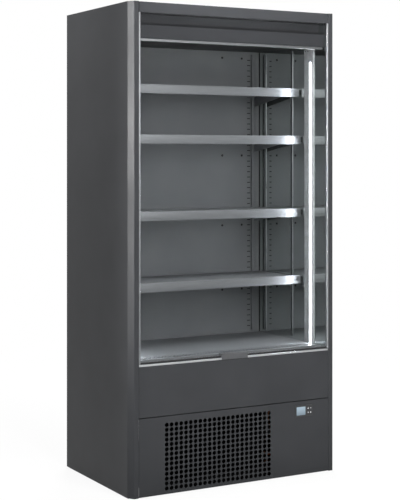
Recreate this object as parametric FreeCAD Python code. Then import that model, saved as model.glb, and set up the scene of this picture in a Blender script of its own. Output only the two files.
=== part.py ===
import FreeCAD, Part
import math
import os

# Open multideck display fridge, 1 m wide, with its refrigeration unit in the base.
# Millimetres. Origin on the floor under the middle of the cabinet, +Z up, the open front faces -Y
# and +X is on the right of a person who stands in front of it.

Vector = FreeCAD.Vector

# ---------------------------------------------------------------- whole cabinet
width = 1000.0
depth = 635.0
height = 1995.0
side_wall = 40.0
rear_wall = 40.0
top_wall = 40.0
floor_gap = 3.0            # the painted panels end this far above the floor
skin = 0.8                 # steel of the cabinet's skins
front_sheet = 1.2          # steel of the front panels
inner_sheet = 1.0          # steel of the inner panels and the shelves
bend = 1.5                 # inside radius of a fold
panel_bend = 3.5           # inside radius of the folds of the two lower front panels
fit_gap = 0.5              # between neighbouring fixed panels
foam_rounding = 3.0        # foam edges clear the folds of the skins
panel_side_gap = 1.0       # rear, top, header and sill to the side walls
pillar_gap = 1.5           # pillar's inner edge beyond the side wall's inner face
front_panel_gap = 1.0      # the two lower front panels to the pillars
mirror_gap = 1.0           # cassette, tub and gasket strip to the mirrors
slot_rounding = 0.49       # corner radius of a round-ended slot, as a share of its width

# ---------------------------------------------------------------- front of the cabinet
bevel_width = 18.0         # bevel on the outer front corners, seen from the front
bevel_depth = 26.0
pillar_return = 12.0       # fold behind the pillar's inner edge
panel_setback = 2.0        # front panels behind the pillars' front
panel_fold = 18.0          # return folds of the front panels
panel_split = 320.0        # split between lower and middle panel
split_gap = 2.0
sill_height = 528.0        # top of the middle panel
rail_height = 8.0          # light aluminium rail on top of it
rail_setback = 3.0
rail_sheet = 1.5
gasket_height = 8.0
gasket_width = 5.0
gasket_setback = 6.0       # behind the rail's front
deck_height = 545.0        # top of the base deck
header_height = 43.0
header_recess = 66.0       # soffit behind the header
recess_height = 46.0       # from the soffit down to the blind cassette
catch_width = 125.0
catch_offset = -13.0       # from the cabinet's middle
catch_height = 25.0
catch_depth = 26.0
catch_radius = 3.0

# ---------------------------------------------------------------- perforated lower panel
hole_diameter = 17.5
hole_pitch_x = 22.3
hole_pitch_z = 19.8
hole_margin_left = 126.0   # panel edge to the first column
hole_margin_right = 301.5
hole_margin_bottom = 24.0
hole_margin_top = 33.0

# ---------------------------------------------------------------- controller
bezel_width = 90.0
bezel_height = 50.0
bezel_thickness = 1.6
bezel_radius = 4.0
bezel_body_depth = 28.0
bezel_body_inset = 6.0
bezel_from_right = 127.5   # bezel centre to the panel's right edge
bezel_from_top = 42.0      # bezel centre to the panel's top edge
window_width = 46.0
window_height = 36.0
window_depth = 0.6
window_offset = -15.0      # window centre from bezel centre
key_size = 8.0
key_radius = 1.5
key_gap = 0.3              # all round a key
key_length = 5.0
key_travel = 0.8
key_proud = 0.3
key_pitch_x = 13.0
key_pitch_z = 18.0
keys_offset = 28.0         # middle of the four keys from bezel centre

# ---------------------------------------------------------------- night blind
cassette_setback = 30.0
cassette_depth = 62.0
cassette_height = 55.0
cassette_lip = 6.0
cassette_end = 2.0
blind_fabric_thickness = 0.5
blind_tube_radius = 14.0
blind_tube_wall = 1.5
blind_roll_radius = 20.0
blind_pin_radius = 4.0
pin_clearance = 0.05
blind_end_gap = 6.0        # bar and tube to the mirrors
fabric_end_gap = 2.0       # fabric to the tube's end
bar_depth = 18.0
bar_height = 11.0
bar_radius = 2.0
bar_gap = 0.6              # bar below the cassette
roll_gap = 0.4             # free fabric to the wound roll

# ---------------------------------------------------------------- display space
mirror_thickness = 3.0
mirror_setback = 14.0
edge_trim_width = 7.5
edge_trim_overlap = 3.5    # trim over the mirror's front edge
edge_trim_radius = 2.5
joint_strips = ((275.0, 14.0), (499.0, 8.0))   # front edge behind the cabinet's front, width
joint_strip_thickness = 2.5
air_duct = 34.0            # behind the inner rear panel
duct_height = 92.0         # above the ceiling panel
liner_fold = 12.0
led_setback = 106.0
led_width = 68.0
led_thickness = 6.0
led_edge_radius = 2.0
led_end_gap = 2.0
diffuser_width = 25.0
diffuser_rise = 2.0
diffuser_rounding = 0.9    # edge radius as a share of the rise
diffuser_inset = 5.0       # from the profile's front edge
diffuser_top_gap = 60.0
honeycomb_cell = 14.0      # across flats
honeycomb_wall = 2.0
honeycomb_height = 14.0
honeycomb_depth = 46.0
air_slot_width = 18.0
air_slot_height = 4.0
air_slot_pitch = 25.0
air_slot_from_upright = 26.0   # column of slots beside each upright, centre to centre

upright_width = 30.0
upright_depth = 12.0
upright_from_wall = 34.0   # upright centre to the mirror
upright_sheet = 1.5
slot_width = 4.5
slot_height = 8.0
slot_pitch = 12.5
slot_margin = 18.0

shelf_shares = (0.858, 0.697, 0.454, 0.223)   # rail tops, in the height over the base deck
shelf_setbacks = (213.0, 200.0, 200.0, 200.0)
shelf_end_gap = 7.0        # deck and rail to the mirrors
shelf_fold = 22.0
shelf_rear_gap = 6.0       # deck to the uprights
rail_face_height = 38.0
rail_above_deck = 6.0
rail_profile_depth = 6.0
rail_crown = 1.5
rail_wall = 2.0
bracket_thickness = 2.5
bracket_rear_height = 55.0
bracket_front_height = 14.0
bracket_front_gap = 30.0   # bracket tip behind the deck's front fold
bracket_tongue = 5.0
bracket_tongue_play = 1.0  # tongue lower than its slot
bracket_face_gap = 0.2     # bracket to the upright's face
bracket_slots_apart = 3
bracket_top_over_slot = 20.0

# ---------------------------------------------------------------- return air and evaporator well
well_floor = 36.0          # insulated floor of the well
tub_setback = 58.0
grille_width = 66.0
grille_slot_width = 6.0
grille_slot_pitch = 14.0
grille_slot_margin = 12.0
deck_fold = 12.0
deck_rear_gap = 3.5        # base deck to the inner rear panel
evaporator_depth = 130.0
evaporator_rear_gap = 165.0
evaporator_side_gap = 75.0
evaporator_pipe_space = 50.0
evaporator_bottom_gap = 14.0
evaporator_height = 140.0
evaporator_fin_pitch = 12.0
fan_plate_gap = 58.0       # fan plate in front of the coil
evaporator_fan_radius = 80.0
evaporator_fan_spacing = 380.0
fan_plate_edge_gap = 2.0
pipe_from_coil = 30.0      # well's pipe holes to the coil's end and to its faces

# ---------------------------------------------------------------- machine compartment
rail_section_width = 50.0
rail_section_height = 38.0
rail_section_sheet = 2.0
pan_sheet = 1.5
pan_inset = bevel_depth + 2.0
pan_rear_fold = 10.0
pan_lip_bottom = 5.0       # the pan's front lip ends this far above the floor
condenser_setback = 60.0
condenser_depth = 44.0
condenser_height = 250.0
condenser_overlap = 10.0   # condenser beyond the hole field, each side
condenser_lift = 6.0       # over the machine floor
condenser_fin_pitch = 9.0
condenser_fan_offset = 30.0    # fan behind the shroud's plate
condenser_fan_radius = 115.0
shroud_gap = 4.0
shroud_collar_depth = 28.0
fin_thickness = 1.0
coil_spine = 4.0
coil_end_plate = 2.0
coil_plate_overhang = 1.0
coil_bend_radius = 14.0
coil_foot_length = 20.0
fan_sheet = 1.5            # steel of the fan plate and the shroud
fan_opening_gap = 4.0      # blade tips to the opening
fan_post_gap = 8.0         # blade tips to the motor's posts
fan_hub_share = 0.28       # of the fan's radius
fan_hub_length = 22.0
fan_shaft_radius = 3.0
fan_shaft_length = 20.0
blade_count = 5
blade_width_share = 0.52   # of the fan's radius
blade_thickness = 2.0
blade_twist = 24.0         # degrees
motor_radius = 32.0
motor_length = 50.0
motor_gap = 8.0            # hub's rear face to the motor
motor_bore_play = 2.0
motor_arm = 5.0
motor_arm_overlap = 4.0
motor_post_width = 6.0
compressor_radius = 88.0
compressor_height = 190.0
compressor_foot = 12.0
compressor_foot_radius = 10.0
compressor_dome_share = 0.4    # of the radius
compressor_base_share = 0.8    # flat underside, of the radius
compressor_seam_share = 0.55   # of the height
compressor_seam_width = 5.0
compressor_seam_height = 6.0
compressor_plate_share = 2.1   # of the radius
compressor_plate_ratio = 0.7   # depth over length
compressor_plate_sheet = 3.0
compressor_plate_corner = 12.0
compressor_port_share = 0.35   # of the radius
compressor_port_rise = 4.0
port_sleeve = 1.5
port_length = 30.0
terminal_cover_width = 60.0
terminal_cover_height = 62.0
terminal_cover_reach = 20.0     # beyond the can
terminal_cover_drop = 8.0       # below the seam
compressor_rear_gap = 130.0
compressor_from_middle = 200.0
tray_length = 300.0
tray_depth = 240.0
tray_height = 48.0
tray_wall = 3.0
tray_gap = 20.0            # tray to the rear service panel and the side
box_width = 120.0
box_depth = 110.0
box_height = 160.0
box_gap = 15.0
gland_radius = 11.0
gland_bore_radius = 4.2
gland_length = 33.0
gland_height = 45.0        # over the machine floor
gland_nut_radius = 15.0
gland_nut_gap = 2.0        # to the service panel
gland_root = 1.0           # gland inside the box's wall
box_corner_radius = 5.0
service_panel_setback = 8.0
service_panel_bottom = 30.0
louvre_width = 120.0
louvre_height = 6.0
louvre_pitch_x = 160.0
louvre_pitch_z = 18.0

foot_pad_radius = 17.0
foot_pad_height = 8.0
foot_pad_taper = 3.0
foot_nut_radius = 9.0
foot_nut_height = 6.0
foot_stem_radius = 5.0
foot_stem_length = 62.0
foot_lift = 0.5            # sole above the floor while the cabinet stands on its rails
foot_hole_gap = 1.0
stem_hole_gap = 0.3
foot_from_end = 46.0       # foot centre to the base rail's end

pipe_radius = 4.0
pipe_bend = 16.0
pipe_hole_gap = 0.5
drier_radius = 11.0
drier_length = 100.0
drier_out = 110.0          # drier beyond the condenser's end
drier_gap = 40.0           # drier to the compressor
discharge_rise = 22.0      # over the compressor's port
discharge_out = 50.0       # beyond the condenser's end
discharge_slant = 40.0
coil_port_inset = 12.0     # condenser ports to its top and bottom
coil_port_share = 0.8      # condenser ports, in its depth
liquid_run = 25.0
liquid_rises = (60.0, 120.0)
suction_rises = (26.0, 32.0)
evaporator_port_inset = 20.0
suction_bend_share = 0.8

# ---------------------------------------------------------------- places worked out from the above
front = -depth / 2
back = depth / 2
outer_x = width / 2
inner_x = outer_x - side_wall
mirror_x = inner_x - mirror_thickness
panel_x = inner_x - panel_side_gap
front_panel_x = inner_x + pillar_gap - front_panel_gap
rail_top = sill_height + rail_height
header_bottom = height - fit_gap - header_height
cassette_top = header_bottom - recess_height
cassette_bottom = cassette_top - cassette_height
top_underside = height - top_wall
rear_face = back - rear_wall
liner_y = rear_face - air_duct - inner_sheet
ceiling_z = top_underside - duct_height
tub_floor_z = panel_split + well_floor
tub_top = deck_height - deck_fold
tub_x = mirror_x - mirror_gap


# ---------------------------------------------------------------- shape helpers
def box(x_low, x_high, y_low, y_high, z_low, z_high):
    """A plain block between two corners."""
    corner = Vector(x_low, y_low, z_low)
    return Part.makeBox(x_high - x_low, y_high - y_low, z_high - z_low, corner)


def rod(radius, start, direction, length):
    """A round bar from start along direction."""
    return Part.makeCylinder(radius, length, start, direction)


def pair(shape):
    """A shape and its mirror image across the cabinet's middle plane."""
    return Part.makeCompound([shape, mirrored(shape)])


def mirrored(shape):
    """The mirror image across the cabinet's middle plane."""
    return shape.mirror(Vector(0, 0, 0), Vector(1, 0, 0))


def axis_of(plane):
    """The direction in which an outline drawn in a plane is extruded."""
    return {"x": Vector(1, 0, 0), "y": Vector(0, 1, 0), "z": Vector(0, 0, 1)}[plane]


def lift(plane, level, spot):
    """A flat point in the frame: (y, z) for plane x, (x, z) for plane y, (x, y) for plane z."""
    if plane == "x":
        return Vector(level, spot.x, spot.y)
    if plane == "y":
        return Vector(spot.x, level, spot.y)
    return Vector(spot.x, spot.y, level)


def left_of(direction):
    """The unit vector to the left of a flat direction."""
    return Vector(-direction.y, direction.x, 0)


def heading(start, end):
    """The unit vector from one flat point to the next."""
    step = end - start
    return step.normalize()


def corner_arc(before, corner, after, radius, offset=0.0):
    """Three points of the arc that rounds a corner, moved offset to the left of the run."""
    normal_in = left_of(heading(before, corner))
    normal_out = left_of(heading(corner, after))
    side = 1.0 if heading(before, corner).cross(heading(corner, after)).z > 0 else -1.0
    shared = (normal_in + normal_out) * (1.0 / (1.0 + normal_in.dot(normal_out)))
    centre = corner + shared * (side * radius)
    reach = side * radius - offset
    middle = (normal_in + normal_out).normalize()
    return (centre - normal_in * reach, centre - middle * reach, centre - normal_out * reach)


def edges_through(plane, level, chain):
    """Straight edges between single points, and an arc for each group of three."""
    edges = []
    last = None
    for item in chain:
        group = item if isinstance(item, tuple) else (item,)
        if last is not None and last.distanceToPoint(group[0]) > 1e-6:
            line = Part.LineSegment(lift(plane, level, last), lift(plane, level, group[0]))
            edges.append(line.toShape())
        if len(group) == 3:
            arc = Part.Arc(*[lift(plane, level, spot) for spot in group])
            edges.append(arc.toShape())
        last = group[-1]
    return edges


def closed_face(plane, level, corners, radii=None):
    """A flat face from its corners, each rounded by its radius or left sharp."""
    spots = [Vector(a, b, 0) for a, b in corners]
    count = len(spots)
    radii = radii or [0.0] * count
    chain = []
    for i, spot in enumerate(spots):
        if radii[i] > 0:
            chain.append(corner_arc(spots[i - 1], spot, spots[(i + 1) % count], radii[i]))
        else:
            chain.append(spot)
    first = chain[0][0] if isinstance(chain[0], tuple) else chain[0]
    return Part.Face(Part.Wire(edges_through(plane, level, chain + [first])))


def prism(plane, start, end, corners, radii=None):
    """An outline extruded from one level to another."""
    return closed_face(plane, start, corners, radii).extrude(axis_of(plane) * (end - start))


def rectangle(a_middle, b_middle, a_size, b_size):
    """The four corners of a rectangle."""
    a_half = a_size / 2
    b_half = b_size / 2
    return [
        (a_middle - a_half, b_middle - b_half),
        (a_middle + a_half, b_middle - b_half),
        (a_middle + a_half, b_middle + b_half),
        (a_middle - a_half, b_middle + b_half),
    ]


def folded_sheet(plane, start, end, path, thickness, inside=bend):
    """Sheet metal bent along a path, its visible face. The metal lies to the left of the path."""
    spots = [Vector(a, b, 0) for a, b in path]
    near = [spots[0]]
    far = [spots[0] + left_of(heading(spots[0], spots[1])) * thickness]
    for before, corner, after in zip(spots, spots[1:], spots[2:]):
        turns_to_metal = heading(before, corner).cross(heading(corner, after)).z > 0
        radius = inside + thickness if turns_to_metal else inside
        near.append(corner_arc(before, corner, after, radius))
        far.append(corner_arc(before, corner, after, radius, thickness))
    near.append(spots[-1])
    far.append(spots[-1] + left_of(heading(spots[-2], spots[-1])) * thickness)
    back_run = [item[::-1] if isinstance(item, tuple) else item for item in far[::-1]]
    outline = Part.Wire(edges_through(plane, start, near + back_run + [spots[0]]))
    return Part.Face(outline).extrude(axis_of(plane) * (end - start))


def joined(shapes):
    """Touching or overlapping shapes as one solid."""
    return shapes[0].multiFuse(shapes[1:]).removeSplitter()


def steps(first, last, pitch):
    """Evenly spaced places from first, as many as fit before last."""
    count = int((last - first) / pitch + 1e-6) + 1
    return [first + pitch * i for i in range(count)]


def centred_steps(half_length, pitch):
    """Evenly spaced places about zero that stay within half_length of it."""
    count = int(2 * half_length / pitch + 1e-6) + 1
    return [pitch * (i - (count - 1) / 2) for i in range(count)]


def pipe(points, radius, bend_radius):
    """A round pipe along straight runs joined by tangent arcs."""
    edges = []
    last = points[0]
    for before, corner, after in zip(points, points[1:], points[2:]):
        into = (corner - before).normalize()
        out = (after - corner).normalize()
        half_turn = math.acos(max(-1.0, min(1.0, into.dot(out)))) / 2
        cut = bend_radius * math.tan(half_turn)
        start = corner - into * cut
        end = corner + out * cut
        inward = (out - into).normalize()
        middle = corner + inward * (bend_radius / math.cos(half_turn) - bend_radius)
        edges.append(Part.LineSegment(last, start).toShape())
        edges.append(Part.Arc(start, middle, end).toShape())
        last = end
    edges.append(Part.LineSegment(last, points[-1]).toShape())
    section = Part.Wire(Part.Circle(points[0], points[1] - points[0], radius).toShape())
    return Part.Wire(edges).makePipeShell([section], True, False)


# ---------------------------------------------------------------- cabinet casing
def side_panel_left():
    """Skin of the left wall: side, bevel, front strip and folds, closed at the top."""
    path = [
        (-inner_x, back),
        (-outer_x, back),
        (-outer_x, front + bevel_depth),
        (-outer_x + bevel_width, front),
        (-inner_x - pillar_gap, front),
        (-inner_x - pillar_gap, front + pillar_return),
    ]
    wall = folded_sheet("z", floor_gap, height, path, skin)
    rounding = [0, bend + skin, bend + skin, bend + skin, bend + skin, 0]
    cap = prism("z", height - skin, height, path, rounding)
    return joined([wall, cap])


def insulation_foam():
    """Foam slabs of the two sides, the back, the top, and the floor and front of the well."""
    edge = foam_rounding
    side_outline = [
        (-inner_x, back - skin), (-outer_x + skin, back - skin),
        (-outer_x + skin, front + bevel_depth), (-inner_x, front + bevel_depth),
    ]
    side = prism("z", panel_split, height - skin, side_outline, [edge, edge, edge, 0])
    slab_x = panel_x - skin
    rear_outline = [
        (slab_x, rear_face), (slab_x, back - skin), (-slab_x, back - skin), (-slab_x, rear_face),
    ]
    rear = prism("z", panel_split + fit_gap, top_underside, rear_outline, [0, edge, edge, 0])
    top_outline = [
        (back - fit_gap - skin, top_underside), (back - fit_gap - skin, height - fit_gap - skin),
        (top_panel_front() + skin, height - fit_gap - skin),
        (top_panel_front() + skin, top_underside),
    ]
    top = prism("x", -slab_x, slab_x, top_outline, [0, edge, edge, 0])
    well_y = front + panel_setback + panel_fold
    well_bottom = box(-inner_x, inner_x, well_y, rear_face, panel_split, tub_floor_z)
    for hole in well_pipe_holes():
        well_bottom = well_bottom.cut(hole)
    well_front = box(-inner_x, inner_x, well_y, front + tub_setback, tub_floor_z, sill_height)
    return Part.makeCompound([side, mirrored(side), rear, top, well_bottom, well_front])


def rear_panel():
    """Outer skin of the back, folded forward at both sides."""
    path = [(panel_x, rear_face), (panel_x, back), (-panel_x, back), (-panel_x, rear_face)]
    return folded_sheet("z", panel_split + fit_gap, top_underside - fit_gap, path, skin)


def top_panel_front():
    """Front face of the top skin, behind the header."""
    return front + panel_setback + panel_fold


def top_panel():
    """Outer skin of the top, folded down at front and back."""
    near = top_panel_front()
    path = [
        (back - fit_gap, top_underside),
        (back - fit_gap, height - fit_gap),
        (near, height - fit_gap),
        (near, top_underside),
    ]
    return folded_sheet("x", -panel_x, panel_x, path, skin)


def header_fascia():
    """Fascia, soffit and the recessed face above the blind cassette, one folded sheet."""
    face = front + panel_setback
    recess = face + header_recess
    path = [
        (top_panel_front(), height - fit_gap),
        (face, height - fit_gap),
        (face, header_bottom),
        (recess, header_bottom),
        (recess, cassette_top),
        (recess + panel_fold, cassette_top),
    ]
    sheet = folded_sheet("x", -panel_x, panel_x, path, front_sheet)
    mirror_room = box(mirror_x - fit_gap, outer_x, recess - fit_gap, recess + 2 * panel_fold,
                      cassette_top - fit_gap, header_bottom)
    return sheet.cut(pair(mirror_room))


def mid_front_panel():
    """Plain panel between the perforated panel and the sill."""
    face = front + panel_setback
    path = [
        (face + panel_fold, sill_height),
        (face, sill_height),
        (face, panel_split + split_gap / 2),
        (face + panel_fold, panel_split + split_gap / 2),
    ]
    return folded_sheet("x", -front_panel_x, front_panel_x, path, front_sheet, panel_bend)


def lower_panel_top():
    """Upper edge of the perforated panel."""
    return panel_split - split_gap / 2


def hole_columns():
    """Places across of the perforated panel's columns of holes."""
    return steps(-front_panel_x + hole_margin_left, front_panel_x - hole_margin_right,
                 hole_pitch_x)


def hole_rows():
    """Heights of its rows of holes."""
    return steps(floor_gap + hole_margin_bottom, lower_panel_top() - hole_margin_top, hole_pitch_z)


def bezel_centre():
    """Across and up: middle of the controller."""
    return front_panel_x - bezel_from_right, lower_panel_top() - bezel_from_top


def lower_front_panel():
    """Perforated panel in front of the condenser, with the controller's cut-out."""
    face = front + panel_setback
    path = [
        (face + panel_fold, lower_panel_top()),
        (face, lower_panel_top()),
        (face, floor_gap),
        (face + panel_fold, floor_gap),
    ]
    sheet = folded_sheet("x", -front_panel_x, front_panel_x, path, front_sheet, panel_bend)
    reach = 2 * front_sheet
    drills = [
        rod(hole_diameter / 2, Vector(x, face - front_sheet / 2, z), Vector(0, 1, 0), reach)
        for x in hole_columns() for z in hole_rows()
    ]
    middle_x, middle_z = bezel_centre()
    opening = rectangle(middle_x, middle_z, bezel_width - 2 * bezel_body_inset + 2 * fit_gap,
                        bezel_height - 2 * bezel_body_inset + 2 * fit_gap)
    drills.append(prism("y", face - front_sheet / 2, face + reach, opening))
    return sheet.cut(Part.makeCompound(drills))


def rear_service_panel():
    """Louvred cover of the machine compartment, with the hole of the cable inlet."""
    face = back - service_panel_setback
    edge = panel_x - fit_gap
    fold_end = back - pan_inset
    path = [(edge, fold_end), (edge, face), (-edge, face), (-edge, fold_end)]
    sheet = folded_sheet("z", service_panel_bottom, lower_panel_top(), path, skin)
    cuts = []
    for x in centred_steps(edge - louvre_width, louvre_pitch_x):
        for z in steps(floor_gap + 4 * louvre_pitch_z, lower_panel_top() - 2 * louvre_pitch_z,
                       louvre_pitch_z):
            slot = rectangle(x, z, louvre_width, louvre_height)
            cuts.append(prism("y", face - 2 * skin, face + skin, slot))
    x, z = gland_place()
    hole = gland_radius + fit_gap
    cuts.append(rod(hole, Vector(x, face - 2 * skin, z), Vector(0, 1, 0), 3 * skin))
    return sheet.cut(Part.makeCompound(cuts))


# ---------------------------------------------------------------- sill
def front_rail():
    """Light aluminium angle on top of the middle panel and of the well's front wall."""
    path = [
        (front + tub_setback, rail_top),
        (front + rail_setback, rail_top),
        (front + rail_setback, sill_height),
    ]
    return folded_sheet("x", -panel_x, panel_x, path, rail_sheet)


def front_gasket_strip():
    """Black bumper strip on the rail behind its front edge, interrupted by the catch."""
    near = front + rail_setback + gasket_setback
    end = mirror_x - edge_trim_overlap - fit_gap
    corners = rectangle(near + gasket_width / 2, rail_top + gasket_height / 2,
                        gasket_width, gasket_height)
    rounding = gasket_width / 3
    catch_half = catch_width / 2
    return Part.makeCompound([
        prism("x", -end, catch_offset - catch_half, corners, [0, 0, rounding, rounding]),
        prism("x", catch_offset + catch_half, end, corners, [0, 0, rounding, rounding]),
    ])


def blind_catch():
    """Catch that holds the lowered blind, clipped over the middle of the rail."""
    low = sill_height
    high = rail_top + catch_height - rail_height
    near = front + fit_gap
    inner = front + rail_setback
    corners = [
        (near, low), (inner, low), (inner, rail_top),
        (near + catch_depth, rail_top), (near + catch_depth, high), (near, high),
    ]
    rounding = [catch_radius / 4, 0, 0, catch_radius / 3, catch_radius, catch_radius]
    return prism("x", catch_offset - catch_width / 2, catch_offset + catch_width / 2, corners,
                 rounding)


def led_room():
    """Room that a light carrier's lower end needs in the grille and the base deck."""
    face = mirror_x - led_thickness - diffuser_rise
    near = front + led_setback
    return box(face - led_end_gap, outer_x, near - led_end_gap, near + led_width + led_end_gap,
               tub_top - fit_gap, deck_height + fit_gap)


def return_air_grille():
    """Slotted grille between the gasket strip and the base deck."""
    near = front + tub_setback
    path = [
        (near + grille_width, tub_top), (near + grille_width, deck_height),
        (near, deck_height), (near, tub_top),
    ]
    sheet = folded_sheet("x", -tub_x, tub_x, path, inner_sheet)
    slots = []
    for x in centred_steps(tub_x - 2 * grille_slot_margin, grille_slot_pitch):
        corners = rectangle(x, near + grille_width / 2, grille_slot_width,
                            grille_width - 2 * grille_slot_margin)
        slots.append(prism("z", deck_height - 2 * inner_sheet, deck_height + inner_sheet, corners,
                           [grille_slot_width * slot_rounding] * 4))
    return sheet.cut(Part.makeCompound(slots)).cut(pair(led_room()))


def base_deck():
    """Lowest deck, a tray turned over on the well's rim, notched round what stands at its edges."""
    near = front + tub_setback + grille_width + fit_gap
    far = liner_y - deck_rear_gap
    deck = tray_deck(near, far, tub_x, deck_height, deck_fold)
    low = tub_top - fit_gap
    high = deck_height + fit_gap
    rooms = [led_room()] + [
        box(mirror_x - joint_strip_thickness - fit_gap, outer_x, front + setback - fit_gap,
            front + setback + across + fit_gap, low, high)
        for setback, across in joint_strips
    ]
    half = upright_width / 2 + fit_gap
    rooms.append(box(upright_x() - half, upright_x() + half, liner_y - upright_depth - fit_gap,
                     liner_y, low, high))
    return deck.cut(pair(Part.makeCompound(rooms)))


def tray_deck(near, far, half_width, top, fold):
    """A flat deck with its four edges folded down."""
    path = [(far, top - fold), (far, top), (near, top), (near, top - fold)]
    plate = folded_sheet("x", -half_width, half_width, path, inner_sheet)
    inset = bend + inner_sheet
    end = box(half_width - inner_sheet, half_width, near + inset, far - inset, top - fold, top)
    return joined([plate, end, mirrored(end)])


# ---------------------------------------------------------------- canopy and blind
def roll_axis():
    """Height and depth of the blind tube's axis."""
    y = front + cassette_setback + cassette_depth / 2
    z = cassette_bottom + cassette_height / 2
    return y, z


def fabric_y():
    """Front face of the free fabric, which leaves the roll on its front side."""
    return roll_axis()[0] - blind_roll_radius - roll_gap - blind_fabric_thickness


def blind_cassette():
    """Channel over the blind, open below, with an end plate on each side."""
    near = front + cassette_setback
    far = near + cassette_depth
    path = [
        (far, cassette_bottom + cassette_lip), (far, cassette_top), (near, cassette_top),
        (near, cassette_bottom), (near + cassette_lip, cassette_bottom),
    ]
    channel = folded_sheet("x", -tub_x, tub_x, path, inner_sheet)
    inset = inner_sheet / 2
    plate = box(tub_x - cassette_end, mirror_x, near + inset, far - inset,
                cassette_bottom + inset, cassette_top - inset)
    y, z = roll_axis()
    bore = rod(blind_pin_radius + pin_clearance, Vector(-outer_x, y, z), Vector(1, 0, 0), width)
    return joined([channel, plate, mirrored(plate)]).cut(bore)


def blind_tube():
    """Sprung roller tube with its two end pins."""
    y, z = roll_axis()
    half = tub_x - blind_end_gap
    along = Vector(1, 0, 0)
    outside = rod(blind_tube_radius, Vector(-half, y, z), along, 2 * half)
    inside = rod(blind_tube_radius - blind_tube_wall, Vector(-half, y, z), along, 2 * half)
    plug_length = blind_tube_radius
    plug = rod(blind_tube_radius - blind_tube_wall, Vector(half - plug_length, y, z), along,
               plug_length)
    pin = rod(blind_pin_radius, Vector(half, y, z), along, blind_end_gap)
    ends = [plug, pin, mirrored(plug), mirrored(pin)]
    return joined([outside.cut(inside)] + ends)


def blind_half_length():
    """Half of the fabric's width."""
    return tub_x - blind_end_gap - fabric_end_gap


def blind_roll():
    """Fabric wound on the tube."""
    y, z = roll_axis()
    half = blind_half_length()
    along = Vector(1, 0, 0)
    outside = rod(blind_roll_radius, Vector(-half, y, z), along, 2 * half)
    return outside.cut(rod(blind_tube_radius, Vector(-half, y, z), along, 2 * half))


def bar_top():
    """Top of the bottom bar while the blind is rolled up."""
    return cassette_bottom - bar_gap


def blind_fabric():
    """Free fabric between the roll and the bar, while the blind is rolled up."""
    half = blind_half_length()
    near = fabric_y()
    return box(-half, half, near, near + blind_fabric_thickness, bar_top(), roll_axis()[1])


def blind_bar():
    """Extruded bottom bar that shows as a light lip under the cassette."""
    near = front + cassette_setback + inner_sheet
    half = mirror_x - blind_end_gap
    corners = rectangle(near + bar_depth / 2, bar_top() - bar_height / 2, bar_depth, bar_height)
    return prism("x", -half, half, corners, [bar_radius] * 4)


def air_outlet_honeycomb():
    """Hexagonal grid at the end of the air duct, behind the blind."""
    near = front + cassette_setback + cassette_depth + fit_gap
    low = cassette_bottom
    high = low + honeycomb_height
    frame = closed_face("z", low, rectangle(0, near + honeycomb_depth / 2, 2 * mirror_x,
                                            honeycomb_depth))
    pitch = honeycomb_cell + honeycomb_wall
    row_pitch = pitch * math.sqrt(3) / 2
    corner_radius = honeycomb_cell / math.sqrt(3)
    rows = int((honeycomb_depth - pitch) / row_pitch) + 1
    cells = []
    for row in range(rows):
        y = near + honeycomb_depth / 2 + row_pitch * (row - (rows - 1) / 2)
        shift = pitch / 2 if row % 2 else 0.0
        for x in centred_steps(tub_x - 2 * pitch, pitch):
            corners = [
                (x + shift + corner_radius * math.cos(math.radians(60 * i + 30)),
                 y + corner_radius * math.sin(math.radians(60 * i + 30)))
                for i in range(6)
            ]
            cells.append(closed_face("z", low, corners).OuterWire)
    return Part.Face([frame.OuterWire] + cells).extrude(Vector(0, 0, high - low))


def ceiling_panel():
    """Ceiling of the display space, under the air duct."""
    near = front + cassette_setback + cassette_depth + honeycomb_depth + 2 * fit_gap
    far = liner_y - fit_gap
    path = [
        (near, ceiling_z + liner_fold), (near, ceiling_z),
        (far, ceiling_z), (far, ceiling_z + liner_fold),
    ]
    return folded_sheet("x", -mirror_x, mirror_x, path, inner_sheet)


# ---------------------------------------------------------------- display space
def shelf_rear_y():
    """Rear edge of the shelf decks."""
    return liner_y - upright_depth - shelf_rear_gap


def upright_x():
    """Middle of the right upright."""
    return mirror_x - upright_from_wall


def upright_bottom():
    """Lower end of the uprights."""
    return deck_height + liner_fold


def upright_top():
    """Upper end of the uprights."""
    return ceiling_z - liner_fold


def slot_count():
    """Number of bracket slots in an upright."""
    return len(steps(upright_bottom() + slot_margin, upright_top() - slot_margin - slot_height,
                     slot_pitch))


def shelf_slot(share):
    """The slot that the upper tongue of a shelf's brackets sits in."""
    wanted = deck_height + share * (ceiling_z - deck_height) - rail_above_deck - inner_sheet
    first = upright_bottom() + slot_margin + bracket_top_over_slot
    return round((wanted - first) / slot_pitch)


def slot_bottom(slot):
    """Lower edge of a bracket slot, counted from the lowest."""
    return upright_bottom() + slot_margin + slot * slot_pitch


def bracket_top(share):
    """Upper edge of a shelf's brackets."""
    return slot_bottom(shelf_slot(share)) + bracket_top_over_slot


def shelf_top(share):
    """Upper face of a shelf's deck."""
    return bracket_top(share) + inner_sheet


def shelves():
    """Share of the height and setback of each shelf, from the top one down."""
    return list(zip(shelf_shares, shelf_setbacks))


def inner_rear_panel():
    """Panel in front of the rear air duct, with its air slots and a ledge for the base deck."""
    path = [
        (liner_y, ceiling_z + liner_fold), (liner_y, tub_top), (liner_y - liner_fold, tub_top),
    ]
    half = tub_x - 2 * inner_sheet
    sheet = folded_sheet("x", -half, half, path, inner_sheet)
    x = upright_x() - air_slot_from_upright
    slots = [
        prism("y", liner_y - inner_sheet, liner_y + 2 * inner_sheet,
              rectangle(x, z, air_slot_width, air_slot_height),
              [air_slot_height * slot_rounding] * 4)
        for z in steps(upright_bottom() + slot_margin, upright_top() - slot_margin, air_slot_pitch)
    ]
    return sheet.cut(pair(Part.makeCompound(slots)))


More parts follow.
